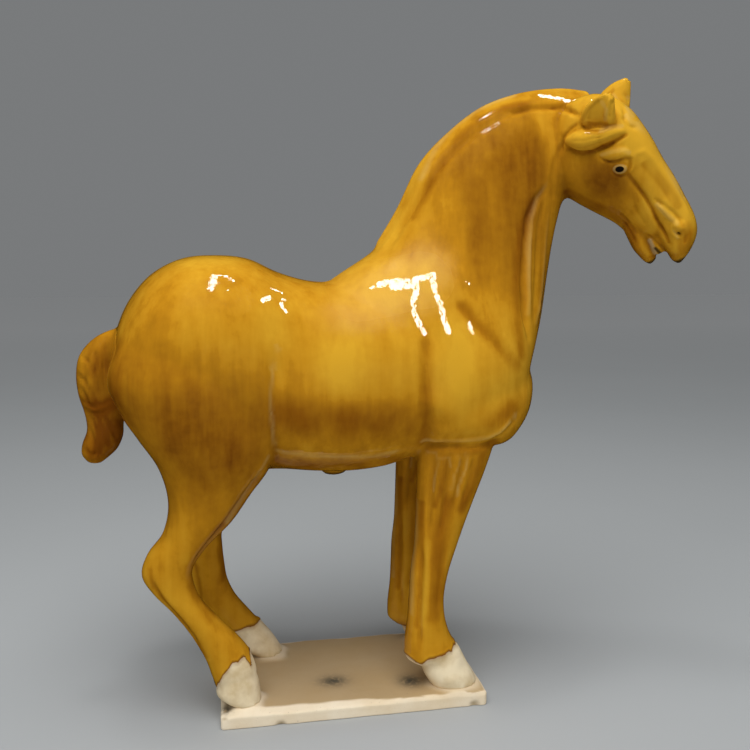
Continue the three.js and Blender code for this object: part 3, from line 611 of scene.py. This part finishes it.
def marked(places, lines, soft):
    """1 within each line's half width and 0 outside it, turning over the soft share of that width."""
    total = np.zeros(len(places))
    for reach, *line in lines:
        total = np.maximum(total, smooth_step(-line_reach(places, line)[0] / reach, -1 - soft, -1 + soft))
    return total


def worked(places, facing, lines):
    """Sum of depth·exp(−(distance/width)²), fading at the lines' ends and where the skin turns away."""
    total = np.zeros(len(places))
    for depth, width, *line in lines:
        reach, along = line_reach(places, line)
        ends = 0.35 + 0.65 * smooth_step(np.minimum(along, 1 - along), 0, 0.12)
        total += depth * ends * np.exp(-(reach / width) ** 2)
    return total * smooth_step(np.abs(facing), 0.12, 0.5)


def bells(places, rows):
    """Sum of height·exp(−((x − x₀)/rx)² − ((z − z₀)/rz)²) over rows of x₀, z₀, rx, rz and height."""
    total = np.zeros(len(places))
    for x, z, reach_x, reach_z, height in rows:
        total += height * np.exp(-((places[:, 0] - x) / reach_x) ** 2 - ((places[:, 1] - z) / reach_z) ** 2)
    return total


def swollen(places, facing, swells):
    """The swells as bells, fading where the skin turns away."""
    return bells(places, swells) * smooth_step(np.abs(facing), 0.1, 0.7)


def head_share(points):
    """1 on the head and ears, 0 on the neck and body, from the place in the head's frame."""
    own = to_head(points)
    return smooth_step(own[:, 0] + 0.45 * np.maximum(own[:, 2] - 20, 0), -13, -8) * (own[:, 2] > -75)


def stride_of(points):
    """How far each point of the far legs is moved forward by the stride."""
    far = smooth_step(points[:, 1], 6, 14)
    hind = FAR_HIND_STRIDE * np.interp(points[:, 2], *HIND_STRIDE)
    fore = FAR_FORE_STRIDE * np.interp(points[:, 2], *FORE_STRIDE)
    return far * np.where(points[:, 0] < 0, hind, fore)


def glaze_reach(points):
    """Height of each point above the ragged end of the glaze, or far above where no hoof is near. The end is
    height + rise·cos(a) + ragged·(three sines of a), less the runs' length·exp(−(a/half width)²)."""
    reach = np.full(len(points), float(FAR_ABOVE))
    for side, middle, height, rise, ragged, *runs in GLAZE_STOPS:
        own = (points[:, 1] * side > 0) & (np.abs(points[:, 0] - middle) < 45) & (points[:, 2] < 60)
        angle = np.arctan2(points[:, 1] - side * LEG_Y, points[:, 0] - middle)
        waves = 0.5 * np.sin(3 * angle + middle) + 0.33 * np.sin(7 * angle + 2 * middle)
        end = height + rise * np.cos(angle) + ragged * (waves + 0.25 * np.sin(13 * angle - middle))
        for direction, half, length in runs:
            off = (np.degrees(angle) - direction + 180) % 360 - 180
            end -= length * np.exp(-(off / half) ** 2)
        reach = np.where(own, np.minimum(points[:, 2] - end, FAR_ABOVE), reach)
    return reach


def halfway(places):
    """The unit direction halfway between those to the window and to the viewer, from places in metres."""
    total = 0
    for target in (WINDOW_PLACE, CAMERA_PLACE):
        way = np.array(target) - places
        total = total + way / np.linalg.norm(way, axis=1)[:, None]
    return total / np.linalg.norm(total, axis=1)[:, None]


def body_detail(points):
    """Where the skin needs the first refinement: head, mane, legs, tail, flank and breast folds."""
    x, y, z = points.T
    legs = (z < 160) & ((z < 125) | (np.abs(x + 6) > 34))
    tail = (x < -138) & (np.abs(y) < 15)
    flank = (np.abs(x + 49) < 10) & (z < 215)
    breast = (x > 36) & (z < 178)
    jugular = (x > 104) & (z > 205)
    crest = (z > 280) & (np.abs(y) < 12) & (x < 150) & (z > 280 + 0.75 * (x - 20))
    shoulder = (x > 5) & (x < 74) & (z > 229) & (z < 275) & (y < 0)
    croup = (np.abs(x + 64) < 26) & (z > 242) & (y < 0)
    return (head_share(points) > 0.05) | legs | tail | flank | breast | jugular | shoulder | crest | croup


def head_detail(points):
    """Where it needs the second: the ears, the face and the near side of the head."""
    x, y, z = to_head(points).T
    face = (x > 20) | (z > 14)
    near = (y < 22 - 0.35 * x) | (z > 26)
    return (head_share(points) > 0.3) & (x > -12) & face & near


def refined(mesh, chosen):
    """The mesh with every edge whose two points are chosen cut in two."""
    points, _, edges = arrays(mesh)
    work = bmesh.new()
    work.from_mesh(mesh)
    work.edges.ensure_lookup_table()
    cut = [work.edges[int(i)] for i in np.flatnonzero(chosen(points)[edges].all(axis=1))]
    bmesh.ops.subdivide_edges(work, edges=cut, cuts=1, use_grid_fill=True)
    work.to_mesh(mesh)
    work.free()
    mesh.update()
    return mesh


def settled(mesh, target, rounds):
    """The mesh evened out and drawn back onto the target's surface, a few times."""
    for _ in range(rounds):
        points, _, edges = arrays(mesh)
        set_points(mesh, points + 0.5 * (neighbour_mean(points, edges) - points))
        mesh = modified(mesh, "SHRINKWRAP", target=target, wrap_method="NEAREST_SURFACEPOINT")
    return mesh


def plain_skin(settings):
    """One closed skin round all masses, soft in its inner corners, and finer where it will be carved."""
    points, faces = joined(body_masses() + head_masses())
    rough = bpy.data.meshes.new("masses")
    rough.from_pydata(points.tolist(), [], faces)
    fine = modified(rough, "REMESH", mode="VOXEL", voxel_size=settings.fine_skin)
    points = arrays(fine)[0]
    body = 1 - head_share(points)
    ledge = (points[:, 0] > 36) & (points[:, 2] < 168) & (points[:, 2] > 120)
    share = body * np.where(ledge, 0.12, 1) * np.where(points[:, 2] < 34, 0.1, 1)
    points = fillet(fine, points, BODY_JOIN, settings.body_fillet, share)
    fillet(fine, points, HEAD_JOIN, settings.head_fillet, 0.3 + 0.7 * body)

    mesh = modified(fine.copy(), "REMESH", mode="VOXEL", voxel_size=settings.coarse_skin)
    target = linked("scratch", fine)
    mesh = settled(mesh, target, 1)
    mesh = settled(refined(mesh, body_detail), target, 1)
    mesh = settled(refined(mesh, head_detail), target, 2)
    bpy.data.objects.remove(target)
    return mesh


def horse_skin(settings):
    """The horse's whole skin with its carving, and the values that its material reads at each point."""
    mesh = plain_skin(settings)
    points, normals, edges = arrays(mesh)
    head = head_share(points)
    body = 1 - head
    body_places = np.stack([points[:, 0] - stride_of(points), points[:, 2]], axis=1)
    own, own_facing = to_head(points), (normals @ HEAD_AXES)[:, 1]
    head_places, own_side = own[:, [0, 2]], np.abs(own[:, 1])
    in_tail = (points[:, 0] < -140) & (np.abs(points[:, 1]) < 16)
    push = body * swollen(body_places, normals[:, 1], BODY_SWELLS)
    push += head * swollen(head_places, own_facing, HEAD_SWELLS)
    set_points(mesh, points + normals * push[:, None])

    points, normals, _ = arrays(mesh)
    facing = normals[:, 1]
    push = body * np.where(in_tail, 0, worked(body_places, facing, BODY_LINES))
    push += np.where(in_tail, worked(body_places, facing, TAIL_LINES), 0)
    push += body * worked(body_places, facing, MANE_LINES)
    push += head * worked(head_places, own_facing, HEAD_LINES)
    ear_places = head_places - np.where(own[:, 1:2] > 0, np.array([FAR_EAR_RISE]), 0)
    outer = np.maximum(own_facing * np.sign(own[:, 1]), 0)
    push += head * (own_side > 11) * (own[:, 2] > 26) * worked(ear_places, outer, EAR_LINES)
    push += head * (own_side > 4) * bells(head_places, [NOSTRIL])
    push *= settings.carving_depth

    glaze = glaze_reach(points)
    coat = COAT * smooth_step(glaze, -0.5, 0.5) + COAT_EDGE * np.exp(-(glaze - 0.9) ** 2)
    push += np.where(points[:, 2] < 60, coat - COAT, 0)
    points = points + normals * (push * (points[:, 2] > 3))[:, None]
    points[:, 2] = np.maximum(points[:, 2], 0)
    set_points(mesh, points)

    normals = arrays(mesh)[1]
    hollow = curvature(points, normals, edges)
    for _ in range(3):
        hollow = 0.5 * hollow + 0.5 * neighbour_mean(hollow, edges)[:, 0]
    broad = hollow
    for _ in range(24):
        broad = neighbour_mean(broad, edges)[:, 0]
    eye = np.hypot(*((head_places - PUPIL) / PUPIL_REACH).T)
    legs = smooth_step(150 - points[:, 2], 0, 25) * smooth_step(points[:, 2], 20, 30)
    ends = smooth_step(np.abs(normals[:, 0]), 0.55, 0.97)
    # Broad pools of glaze that also hold painted shade and painted light, and painted shade on the legs'
    # front and back faces
    pools_and_shade = body * (bells(body_places, BODY_POOLS_AND_SHADE) + 0.15 * legs * ends)
    values = {
        "hollow": np.clip(hollow, -1, 1),
        "broad_hollow": np.clip(broad * 6, -1, 1),
        "pool_and_shade": pools_and_shade + head * bells(head_places, HEAD_POOLS_AND_SHADE),
        "glaze_reach": glaze,
        "eye_reach": np.where((head > 0.5) & (own_side > 12), np.minimum(eye, 9), 9),
        "shine_mark": (points[:, 1] < 0) * marked(body_places, SHINE_LINES, 0.8),
    }
    marks = (head, head_places, 0.5, HEAD_MARKS), (body, body_places, 0.95, BODY_MARKS)
    for share, places, soft, table in marks:
        for name, lines in table.items():
            values[name] = np.maximum(values.get(name, 0), share * marked(places, lines, soft))
    points[:, 2] += SOLE_LIFT
    set_points(mesh, points * MM)
    values["shine_facing"] = halfway(points * MM)
    return mesh, values


def plate_outline(half):
    """Evenly spaced points round a rectangle with round corners, and the way inward at each."""
    straight = half - PLATE_CORNER
    lengths = 2 * straight[[1, 0, 1, 0]]
    quarter = np.pi * PLATE_CORNER / 2
    walk = np.arange(PLATE_AROUND) / PLATE_AROUND * (lengths.sum() + 4 * quarter)
    outline, inward, start = [], [], 0.0
    for turn, (length, x, y) in enumerate(zip(lengths, (1, -1, -1, 1), (1, 1, -1, -1))):
        here = (walk >= start) & (walk < start + length + quarter)
        along = walk[here] - start
        first = turn * np.pi / 2
        angle = np.clip((along - length) / PLATE_CORNER, 0, np.pi / 2) + first
        way = np.stack([np.cos(angle), np.sin(angle)], axis=1)
        back = np.clip(length - along, 0, None)[:, None] * np.array([-np.sin(first), np.cos(first)])
        outline.append(straight * (x, y) + PLATE_CORNER * way - back)
        inward.append(-way)
        start += length + quarter
    return np.vstack(outline), np.vstack(inward)


def plate_rings(thick):
    """Share of the outline, inset and height of each ring, from the top's middle to the underside's."""
    bend = np.linspace(0, np.pi / 2, 6)
    curve = list(zip(PLATE_EDGE * (1 - np.sin(bend)), PLATE_EDGE * (1 - np.cos(bend))))
    rings = [(share, PLATE_EDGE, thick) for share in 1 - np.linspace(0.012, 1, 56)[-2::-1] ** 0.9]
    rings += [(1, inset, thick - drop) for inset, drop in curve]
    rings += [(1, 0, height) for height in np.linspace(thick - PLATE_EDGE, PLATE_EDGE, 6)[1:-1]]
    rings += [(1, inset, rise) for inset, rise in curve[::-1]]
    return rings + [(share, PLATE_EDGE, 0) for share in np.linspace(1, 0.02, 14)[1:]]


def plate_skin():
    """A slab as rings round its middle, outline·share on both faces, with its edge turned over, low waves,
    slip beads and chips pressed in, and its rim worn down by drop·(1 − inset/width)^1.3."""
    low, high = (np.array(corner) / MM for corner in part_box("base_plate"))
    half = (high - low)[:2] / 2
    thick = high[2] - low[2]
    outline, inward = plate_outline(half)
    rings = plate_rings(thick)
    points = np.vstack([
        np.column_stack([(outline + inward * inset) * share, np.full(PLATE_AROUND, height)])
        for share, inset, height in rings
    ])
    points[:, :2] += (low + high)[:2] / 2

    x, y, z = points.T.copy()
    top = smooth_step(z, thick - 1.5, thick - 0.2)
    rim = smooth_step(np.maximum(np.abs(x) / half[0], np.abs(y) / half[1]), 0.6, 1)
    wave = 0.22 * np.sin(0.031 * x + 1) * np.sin(0.06 * y) + 0.12 * np.sin(0.11 * x + 0.07 * y)
    wave += 0.07 * np.sin(0.31 * x - 0.2 * y + 2) * np.sin(0.23 * y + 1)
    plan = np.stack([x, y], axis=1)
    points[:, 2] += top * (wave - 0.35 * rim + bells(plan, [PLATE_DENT]))
    worn = np.zeros(len(points))
    tan = top.copy()
    wander = 0.6 * np.sin(0.13 * x + 1) + 0.4 * np.sin(0.31 * x) + 0.5 * np.sin(0.17 * y)
    front_width = 2.2 + 4.8 * smooth_step(-x, -45, 15)
    front, back = (y + half[1], front_width, 2.2), (half[1] - y, 2.5, 1.2)
    for inset, width, drop in (front, back, (half[0] - x, 2.5, 1.2), (x + half[0], 3, 1.5)):
        share = np.clip(inset / (width + wander), 0, 1)
        worn = np.maximum(worn, drop * (1 - share) ** 1.3)
        tan *= smooth_step(share, 0.75, 1)
    points[:, 2] *= 1 - worn / thick
    for middle_x, middle_y, reach_x, reach_y in HOOF_MIDDLES:
        ring = np.sqrt(((x - middle_x) / reach_x) ** 2 + ((y - middle_y) / reach_y) ** 2)
        off = (ring - 1) * min(reach_x, reach_y)
        ragged = 1 + 0.3 * np.sin(5 * np.arctan2(y - middle_y, x - middle_x) + middle_x)
        mound = np.exp(-(np.maximum(off, 0) / (2.5 * ragged)) ** 2) * (off > -4)
        points[:, 2] += top * 1.9 * mound
        tan *= 1 - 0.7 * mound
    sway = 0.25 * np.sin(0.05 * x + 2) + 0.15 * np.sin(0.17 * x)
    end_sway = 0.3 * np.sin(0.08 * y + 1)
    for axis, along, bow in ((1, y, sway), (0, x, end_sway)):
        side = smooth_step(np.abs(along), half[axis] - 2, half[axis])
        points[:, axis] -= side * np.sign(along) * np.abs(bow)
    chipped = np.zeros(len(points))
    for *chip, radius in PLATE_CHIPS:
        reach = np.linalg.norm((points - chip) * (0.7, 1, 1), axis=1)
        push = np.clip(radius - reach, 0, None)
        inside = np.array([0, 0, thick / 2]) - np.array(chip) * (0.2, 1, 1)
        points += push[:, None] * 0.55 * inside / np.linalg.norm(inside)
        chipped = np.maximum(chipped, push / radius)
    points[:, 2] = np.clip(points[:, 2], 0, None)

    mesh = bpy.data.meshes.new("base_plate_skin")
    mesh.from_pydata((points * MM).tolist(), [], tube_faces(len(rings), PLATE_AROUND))
    return mesh, {"dark_patch": np.clip(bells(plan, PLATE_DARK_PATCHES), 0, 1) * top, "chip": chipped, "top": tan}


def outward(mesh):
    """Turns every face of a closed mesh outwards."""
    work = bmesh.new()
    work.from_mesh(mesh)
    bmesh.ops.recalc_face_normals(work, faces=work.faces)
    work.to_mesh(mesh)
    work.free()


def piece_from(name, mesh, values, material):
    """A smooth shaded piece that keeps each named row of values as an attribute of its points."""
    for key, row in values.items():
        kind, part = ("FLOAT", "value") if row.ndim == 1 else ("FLOAT_VECTOR", "vector")
        mesh.attributes.new(key, kind, "POINT").data.foreach_set(part, row.astype(np.float32).ravel())
    mesh.name = name
    mesh.polygons.foreach_set("use_smooth", np.ones(len(mesh.polygons), bool))
    mesh.materials.clear()
    mesh.materials.append(material)
    mesh.update()
    return linked(name, mesh)


class Wire:
    """A node's output. Adding, subtracting or multiplying wires makes the node that does it."""

    def __init__(self, shader, socket):
        self.shader, self.socket = shader, socket

    def __add__(self, other):
        return self.shader.math("ADD", self, other)

    def __sub__(self, other):
        return self.shader.math("SUBTRACT", self, other)

    def __rsub__(self, other):
        return self.shader.math("SUBTRACT", other, self)

    def __mul__(self, other):
        return self.shader.math("MULTIPLY", self, other)


class Shader:
    """Short calls for wiring a material's nodes."""

    def __init__(self, name):
        self.material = bpy.data.materials.new(name)
        self.material.use_nodes = True
        self.tree = self.material.node_tree
        self.place = self.made("ShaderNodeTexCoord", "Object")

    def wire(self, source, socket):
        """Leads a wire into a socket, or sets the socket to a number, a direction or a colour."""
        if isinstance(source, Wire):
            self.tree.links.new(source.socket, socket)
        else:
            socket.default_value = (*source, 1.0) if socket.type == "RGBA" else source

    def made(self, kind, output, inputs=None, **settings):
        """A new node's output, with its settings made and its inputs wired."""
        node = self.tree.nodes.new(kind)
        for key, value in settings.items():
            setattr(node, key, value)
        for key, source in (inputs or {}).items():
            self.wire(source, node.inputs[key])
        return Wire(self, node.outputs[output])

    def value(self, name, output="Fac"):
        return self.made("ShaderNodeAttribute", output, attribute_name=name)

    def along(self, axis):
        return self.made("ShaderNodeSeparateXYZ", axis, {0: self.place})

    def noise(self, scale, detail, stretch=(1, 1, 1)):
        place = self.made("ShaderNodeMapping", "Vector", {"Vector": self.place, "Scale": stretch})
        inputs = {"Vector": place, "Scale": scale, "Detail": detail, "Roughness": 0.55}
        return self.made("ShaderNodeTexNoise", "Fac", inputs)

    def math(self, operation, first, second):
        return self.made("ShaderNodeMath", 0, {0: first, 1: second}, operation=operation)

    def ranged(self, value, low, high, to_low=0.0, to_high=1.0):
        inputs = {"Value": value, "From Min": low, "From Max": high, "To Min": to_low, "To Max": to_high}
        return self.made("ShaderNodeMapRange", "Result", inputs, clamp=True)

    def mixed(self, share, first, second, kind="RGBA"):
        low, high, result = MIX_SOCKETS[kind]
        return self.made("ShaderNodeMix", result, {0: share, low: first, high: second}, data_type=kind)

    def leaned(self, share, name):
        """The surface's normal turned by the share towards the direction kept under a name."""
        normal = self.made("ShaderNodeNewGeometry", "Normal")
        lean = self.mixed(share, normal, self.value(name, "Vector"), "VECTOR")
        return self.made("ShaderNodeVectorMath", 0, {0: lean}, operation="NORMALIZE")

    def bump(self, height, strength, distance, **below):
        return self.made("ShaderNodeBump", "Normal", {
            "Strength": strength, "Distance": distance, "Height": height, **below})

    def finished(self, inputs):
        """The material, with its surface wired."""
        for key, source in inputs.items():
            self.wire(source, self.tree.nodes["Principled BSDF"].inputs[key])
        return self.material


def glaze_material(settings):
    """Amber glaze, pale where thin and brown where it pools, with painted shade and painted light in its
    pools, painted highlights on ridges, and the bare hooves below its edge.
    """
    shader = Shader("amber_glaze")
    value, noise, ranged, mixed = shader.value, shader.noise, shader.ranged, shader.mixed
    runs = noise(95, 3, (1, 1, 0.10))
    depth = value("hollow") * 0.8 + value("broad_hollow") * 0.35
    fine_runs = noise(230, 3, (1, 1, 0.06))
    for cloud, share in ((noise(22, 4), 0.8), (runs, 0.75), (fine_runs, 0.3), (noise(170, 4), 0.32)):
        depth += (cloud - 0.5) * share
    broken = ranged(noise(55, 4, (1, 1, 0.4)), 0.3, 0.62, 0.3, 1.0)
    warm = value("warm_mark") * broken
    low_down = 1.0 - ranged(shader.along("Z"), 0.06, 0.30)
    # Darker towards the bottom; thin marks lighten as thin glaze and painted highlights, warm marks darken,
    # and pools add painted shade and painted light
    depth = depth + value("pool_and_shade") + low_down * 0.12 - value("thin_mark") * broken * 0.32 + warm * 0.42

    reach = value("glaze_reach") + (noise(330, 2) - 0.5) * 1.6
    rim = ranged(reach, 2.2, 0.7) * ranged(reach, -0.3, 0.3)
    bare = ranged(reach, 0.35, -0.05)
    clay = mixed(ranged(noise(60, 4), 0.4, 0.7), settings.hoof_colour, (0.62, 0.46, 0.24))
    clay = mixed(ranged(reach, -2.6, -0.2) * 0.45, clay, (0.45, 0.24, 0.10))
    eye = value("eye_reach")
    pupil = ranged(eye, 1.1, 0.98)
    colour = settings.glaze_colour
    for share, tint in (
        # From pale thin glaze with painted light and highlights to brown pooled glaze with painted shade
        (ranged(depth, 0.12, -0.45), settings.thin_and_lit_glaze_colour),
        (ranged(depth, 0.05, 0.88), settings.pooled_and_shaded_glaze_colour),
        (warm * 0.36, (0.28, 0.08, 0.003)),
        # Milky glaze and painted highlights along ridges and edges
        (value("milky_mark") * broken * 0.34, (0.66, 0.47, 0.16)),
        (value("pale_mark") * 0.75, (0.50, 0.38, 0.20)),
        (value("dark_mark") * 0.9, (0.02, 0.012, 0.006)),
        (rim * 0.85, (0.16, 0.055, 0.012)),
        (bare, clay),
        (ranged(eye, 1.8, 1.5) * 0.55, (0.52, 0.35, 0.12)),
        (pupil, (0.006, 0.004, 0.003)),
    ):
        colour = mixed(share, colour, tint)

    ragged = (noise(600, 3, (1, 1, 0.5)) - 0.5) * 3.4
    shine = ranged(value("shine_mark") * (ragged + 1), 0.4, 0.62)
    dull = value("dull_mark") * (0.55 - shine * 0.55)
    matt = shader.math("MAXIMUM", dull, shader.math("MAXIMUM", bare, pupil))
    gloss = ranged(noise(60, 3), 0.3, 0.7, settings.glaze_roughness * 0.8, settings.glaze_roughness * 1.4)
    flow = shader.bump(runs, 0.35, 0.0012, Normal=shader.leaned(shine, "shine_facing"))
    return shader.finished({
        "Base Color": colour,
        "Roughness": mixed(matt, gloss, 0.85, "FLOAT"),
        "IOR": 1.5,
        "Specular IOR Level": 0.42,
        "Normal": shader.bump(noise(420, 2), 0.12, 0.0004, Normal=flow),
    })


def clay_material(settings):
    """Bare buff clay: pale sides whose colour also stands for painted bounce light, a tanner top with cloudy
    tone and dark patches, one of them painted shade, fine grit and the whiter clay of chips.
    """
    shader = Shader("bare_clay")
    value, noise, ranged = shader.value, shader.noise, shader.ranged
    clouds = ranged(noise(28, 5), 0.35, 0.7)
    darkened = value("dark_patch") * ranged(noise(300, 4), 0.2, 0.5)
    colour = settings.clay_and_bounce_colour
    for share, tint in (
        (clouds, (0.78, 0.62, 0.40)),
        (value("top") * 0.85, (0.43, 0.285, 0.125)),
        (ranged(noise(900, 2), 0.68, 0.76) * 0.5, (0.25, 0.17, 0.10)),
        # Dark patches on the top, the one in the dent under the near hind heel painted shade
        (darkened * settings.dark_patch_strength, (0.075, 0.068, 0.05)),
        (value("chip") * 0.8, (0.30, 0.20, 0.07)),
    ):
        colour = shader.mixed(share, colour, tint)
    drag = shader.bump(noise(140, 4, (0.25, 1, 1)), 0.35, 0.0006)
    return shader.finished({
        "Base Color": colour,
        "Roughness": ranged(clouds, 0, 1, 0.78, 0.95),
        "Normal": shader.bump(noise(1300, 3), 0.25, 0.0003, Normal=drag),
    })


def floor_material():
    """A pale grey floor, a little paler in the distance."""
    shader = Shader("pale_floor")
    tone = shader.mixed(shader.noise(3, 2), (0.40, 0.415, 0.42), (0.42, 0.435, 0.44))
    tone = shader.mixed(shader.ranged(shader.along("Y"), 1.0, 4.0), tone, (0.485, 0.493, 0.498))
    return shader.finished({"Base Color": tone, "Roughness": 0.9})


def setting(name, description, default, least=0, kind=FloatProperty, **more):
    return kind(name=name, description=description, default=default, min=least, **more)


def factor(name, description, default):
    return setting(name, description, default, max=1, subtype="FACTOR")


def tint(name, description, *default):
    return setting(name, description, default, kind=FloatVectorProperty, max=1, subtype="COLOR")


class FigureSettings(bpy.types.PropertyGroup):
    """Sizes and colours of the horse, its plate and the studio."""

    fine_skin: setting("Fine Skin", "Grid of the skin that takes every form, in millimetres", 0.9, 0.5)
    coarse_skin: setting("Coarse Skin", "Grid of the skin before it is refined, in millimetres", 3.3, 1.5)
    body_fillet: setting("Body Fillet", "Passes that soften the body's inner corners", 60, kind=IntProperty)
    head_fillet: setting("Head Fillet", "Passes that soften the small forms' corners", 5, kind=IntProperty)
    carving_depth: setting("Carving Depth", "Share of the modelled depth of lines", 1.0, subtype="FACTOR")
    glaze_colour: tint("Glaze", "Colour of the glaze at its usual thickness", 0.53, 0.235, 0.010)
    # Pale colour of thin glaze, also laid on as painted highlights and painted light
    thin_and_lit_glaze_colour: tint("Thin Glaze", "Colour of the glaze where it runs thin", 0.69, 0.365, 0.024)
    # Brown of pooled glaze, also laid on as painted shade
    pooled_and_shaded_glaze_colour: tint("Pooled Glaze", "Colour of the glaze where it pools", 0.185, 0.056, 0.004)
    glaze_roughness: factor("Glaze Roughness", "Roughness of the glaze", 0.06)
    hoof_colour: tint("Hooves", "Colour of the bare clay of the hooves", 0.88, 0.74, 0.50)
    # Colour of the bare clay, pale enough to stand also for painted bounce light on the plate's sides
    clay_and_bounce_colour: tint("Clay", "Colour of the plate's bare clay", 0.92, 0.80, 0.61)
    # Strength of the dark patches on the plate's top, one of them painted shade
    dark_patch_strength: factor("Stains", "Strength of the kiln stains on the plate", 0.95)
    lamp_power: setting("Lamp Power", "Power of the ceiling lamp", 4.2, unit="POWER")
    room_glow: setting("Room Glow", "Strength of the even light from above", 0.90)
    sky_strength: setting("Room Light", "Strength of the even light from all sides", 0.20)


class FIGURE_OT_horse(bpy.types.Operator):
    """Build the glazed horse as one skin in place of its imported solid"""

    bl_idname = "figure.horse"
    bl_label = "Horse"

    def execute(self, context):
        settings = context.scene.pottery_horse
        horse = piece_from("glazed_horse", *horse_skin(settings), glaze_material(settings))
        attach(horse, "root")
        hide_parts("horse")
        return {"FINISHED"}


class FIGURE_OT_plate(bpy.types.Operator):
    """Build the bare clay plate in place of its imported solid"""

    bl_idname = "figure.plate"
    bl_label = "Clay Plate"

    def execute(self, context):
        mesh, values = plate_skin()
        outward(mesh)
        plate = piece_from("clay_plate", mesh, values, clay_material(context.scene.pottery_horse))
        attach(plate, "root")
        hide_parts("base_plate")
        return {"FINISHED"}


def soft_lamp(name, place, aim, size, power, mirrored=False):
    """A rectangular soft lamp at a place, facing its aim, seen in the glaze or not."""
    lamp = bpy.data.lights.new(name, "AREA")
    lamp.shape = "RECTANGLE"
    lamp.size, lamp.size_y = size
    lamp.energy = power
    obj = linked(name, lamp)
    obj.visible_glossy = mirrored
    obj.location = place
    x, y, z = np.array(aim) - np.array(place)
    obj.rotation_euler = (math.pi / 2 + math.atan2(z, math.hypot(x, y)), 0, math.atan2(y, x) - math.pi / 2)


class FIGURE_OT_studio(bpy.types.Operator):
    """Set the pale floor, the soft lights and the camera"""

    bl_idname = "figure.studio"
    bl_label = "Studio"

    def execute(self, context):
        scene, settings = context.scene, context.scene.pottery_horse
        mesh = bpy.data.meshes.new("floor")
        corners = [(FLOOR_REACH * x, FLOOR_REACH * y, 0) for x, y in ((-1, -1), (1, -1), (1, 1), (-1, 1))]
        mesh.from_pydata(corners, [], [(0, 1, 2, 3)])
        floor = piece_from("floor", mesh, {}, floor_material())
        floor.visible_glossy = False

        world = bpy.data.worlds.new("room")
        world.use_nodes = True
        background = world.node_tree.nodes["Background"]
        background.inputs["Color"].default_value = (0.95, 0.98, 1.0, 1)
        background.inputs["Strength"].default_value = settings.sky_strength
        scene.world = world
        world.cycles_visibility.glossy = False
        scene.view_settings.view_transform = "Standard"
        power = settings.lamp_power
        below = (*WINDOW_PLACE[:2], 0)
        soft_lamp("window_lamp", WINDOW_PLACE, below, (0.12, 0.12), power * 0.26, mirrored=True)
        soft_lamp("ceiling_glow", (-0.1, -0.4, 1.3), (0, 0, 0.2), (1.0, 1.0), power * 2.7)
        soft_lamp("low_glow", (0, -0.8, 0.2), (0, -0.05, 0.02), (0.6, 0.3), power * 0.28)
        sun = bpy.data.lights.new("room_glow", "SUN")
        sun.angle = math.radians(60)
        sun.energy = settings.room_glow
        room = linked("room_glow", sun)
        room.visible_glossy = False
        room.rotation_euler = (math.radians(28), math.radians(-12), 0)

        lens = bpy.data.cameras.new("camera")
        lens.sensor_width = CAMERA_SENSOR
        lens.lens = CAMERA_LENS
        camera = linked("camera", lens)
        camera.location = CAMERA_PLACE
        camera.rotation_euler = CAMERA_ANGLES
        scene.camera = camera
        return {"FINISHED"}


class FIGURE_PT_panel(bpy.types.Panel):
    """Lists the pieces of the figure and their settings."""

    bl_idname = "FIGURE_PT_panel"
    bl_label = "Pottery Horse"
    bl_space_type = "VIEW_3D"
    bl_region_type = "UI"
    bl_category = "Pottery Horse"

    def draw(self, context):
        for name in FigureSettings.__annotations__:
            self.layout.prop(context.scene.pottery_horse, name)
        for operator in (FIGURE_OT_horse, FIGURE_OT_plate, FIGURE_OT_studio):
            self.layout.operator(operator.bl_idname)


CLASSES = (FigureSettings, FIGURE_OT_horse, FIGURE_OT_plate, FIGURE_OT_studio, FIGURE_PT_panel)


def register():
    for kind in CLASSES:
        bpy.utils.register_class(kind)
    bpy.types.Scene.pottery_horse = PointerProperty(type=FigureSettings)


def unregister():
    del bpy.types.Scene.pottery_horse
    for kind in reversed(CLASSES):
        bpy.utils.unregister_class(kind)


def main():
    register()
    bpy.ops.figure.studio()
    bpy.ops.figure.plate()
    bpy.ops.figure.horse()


if __name__ == "__main__":
    main()
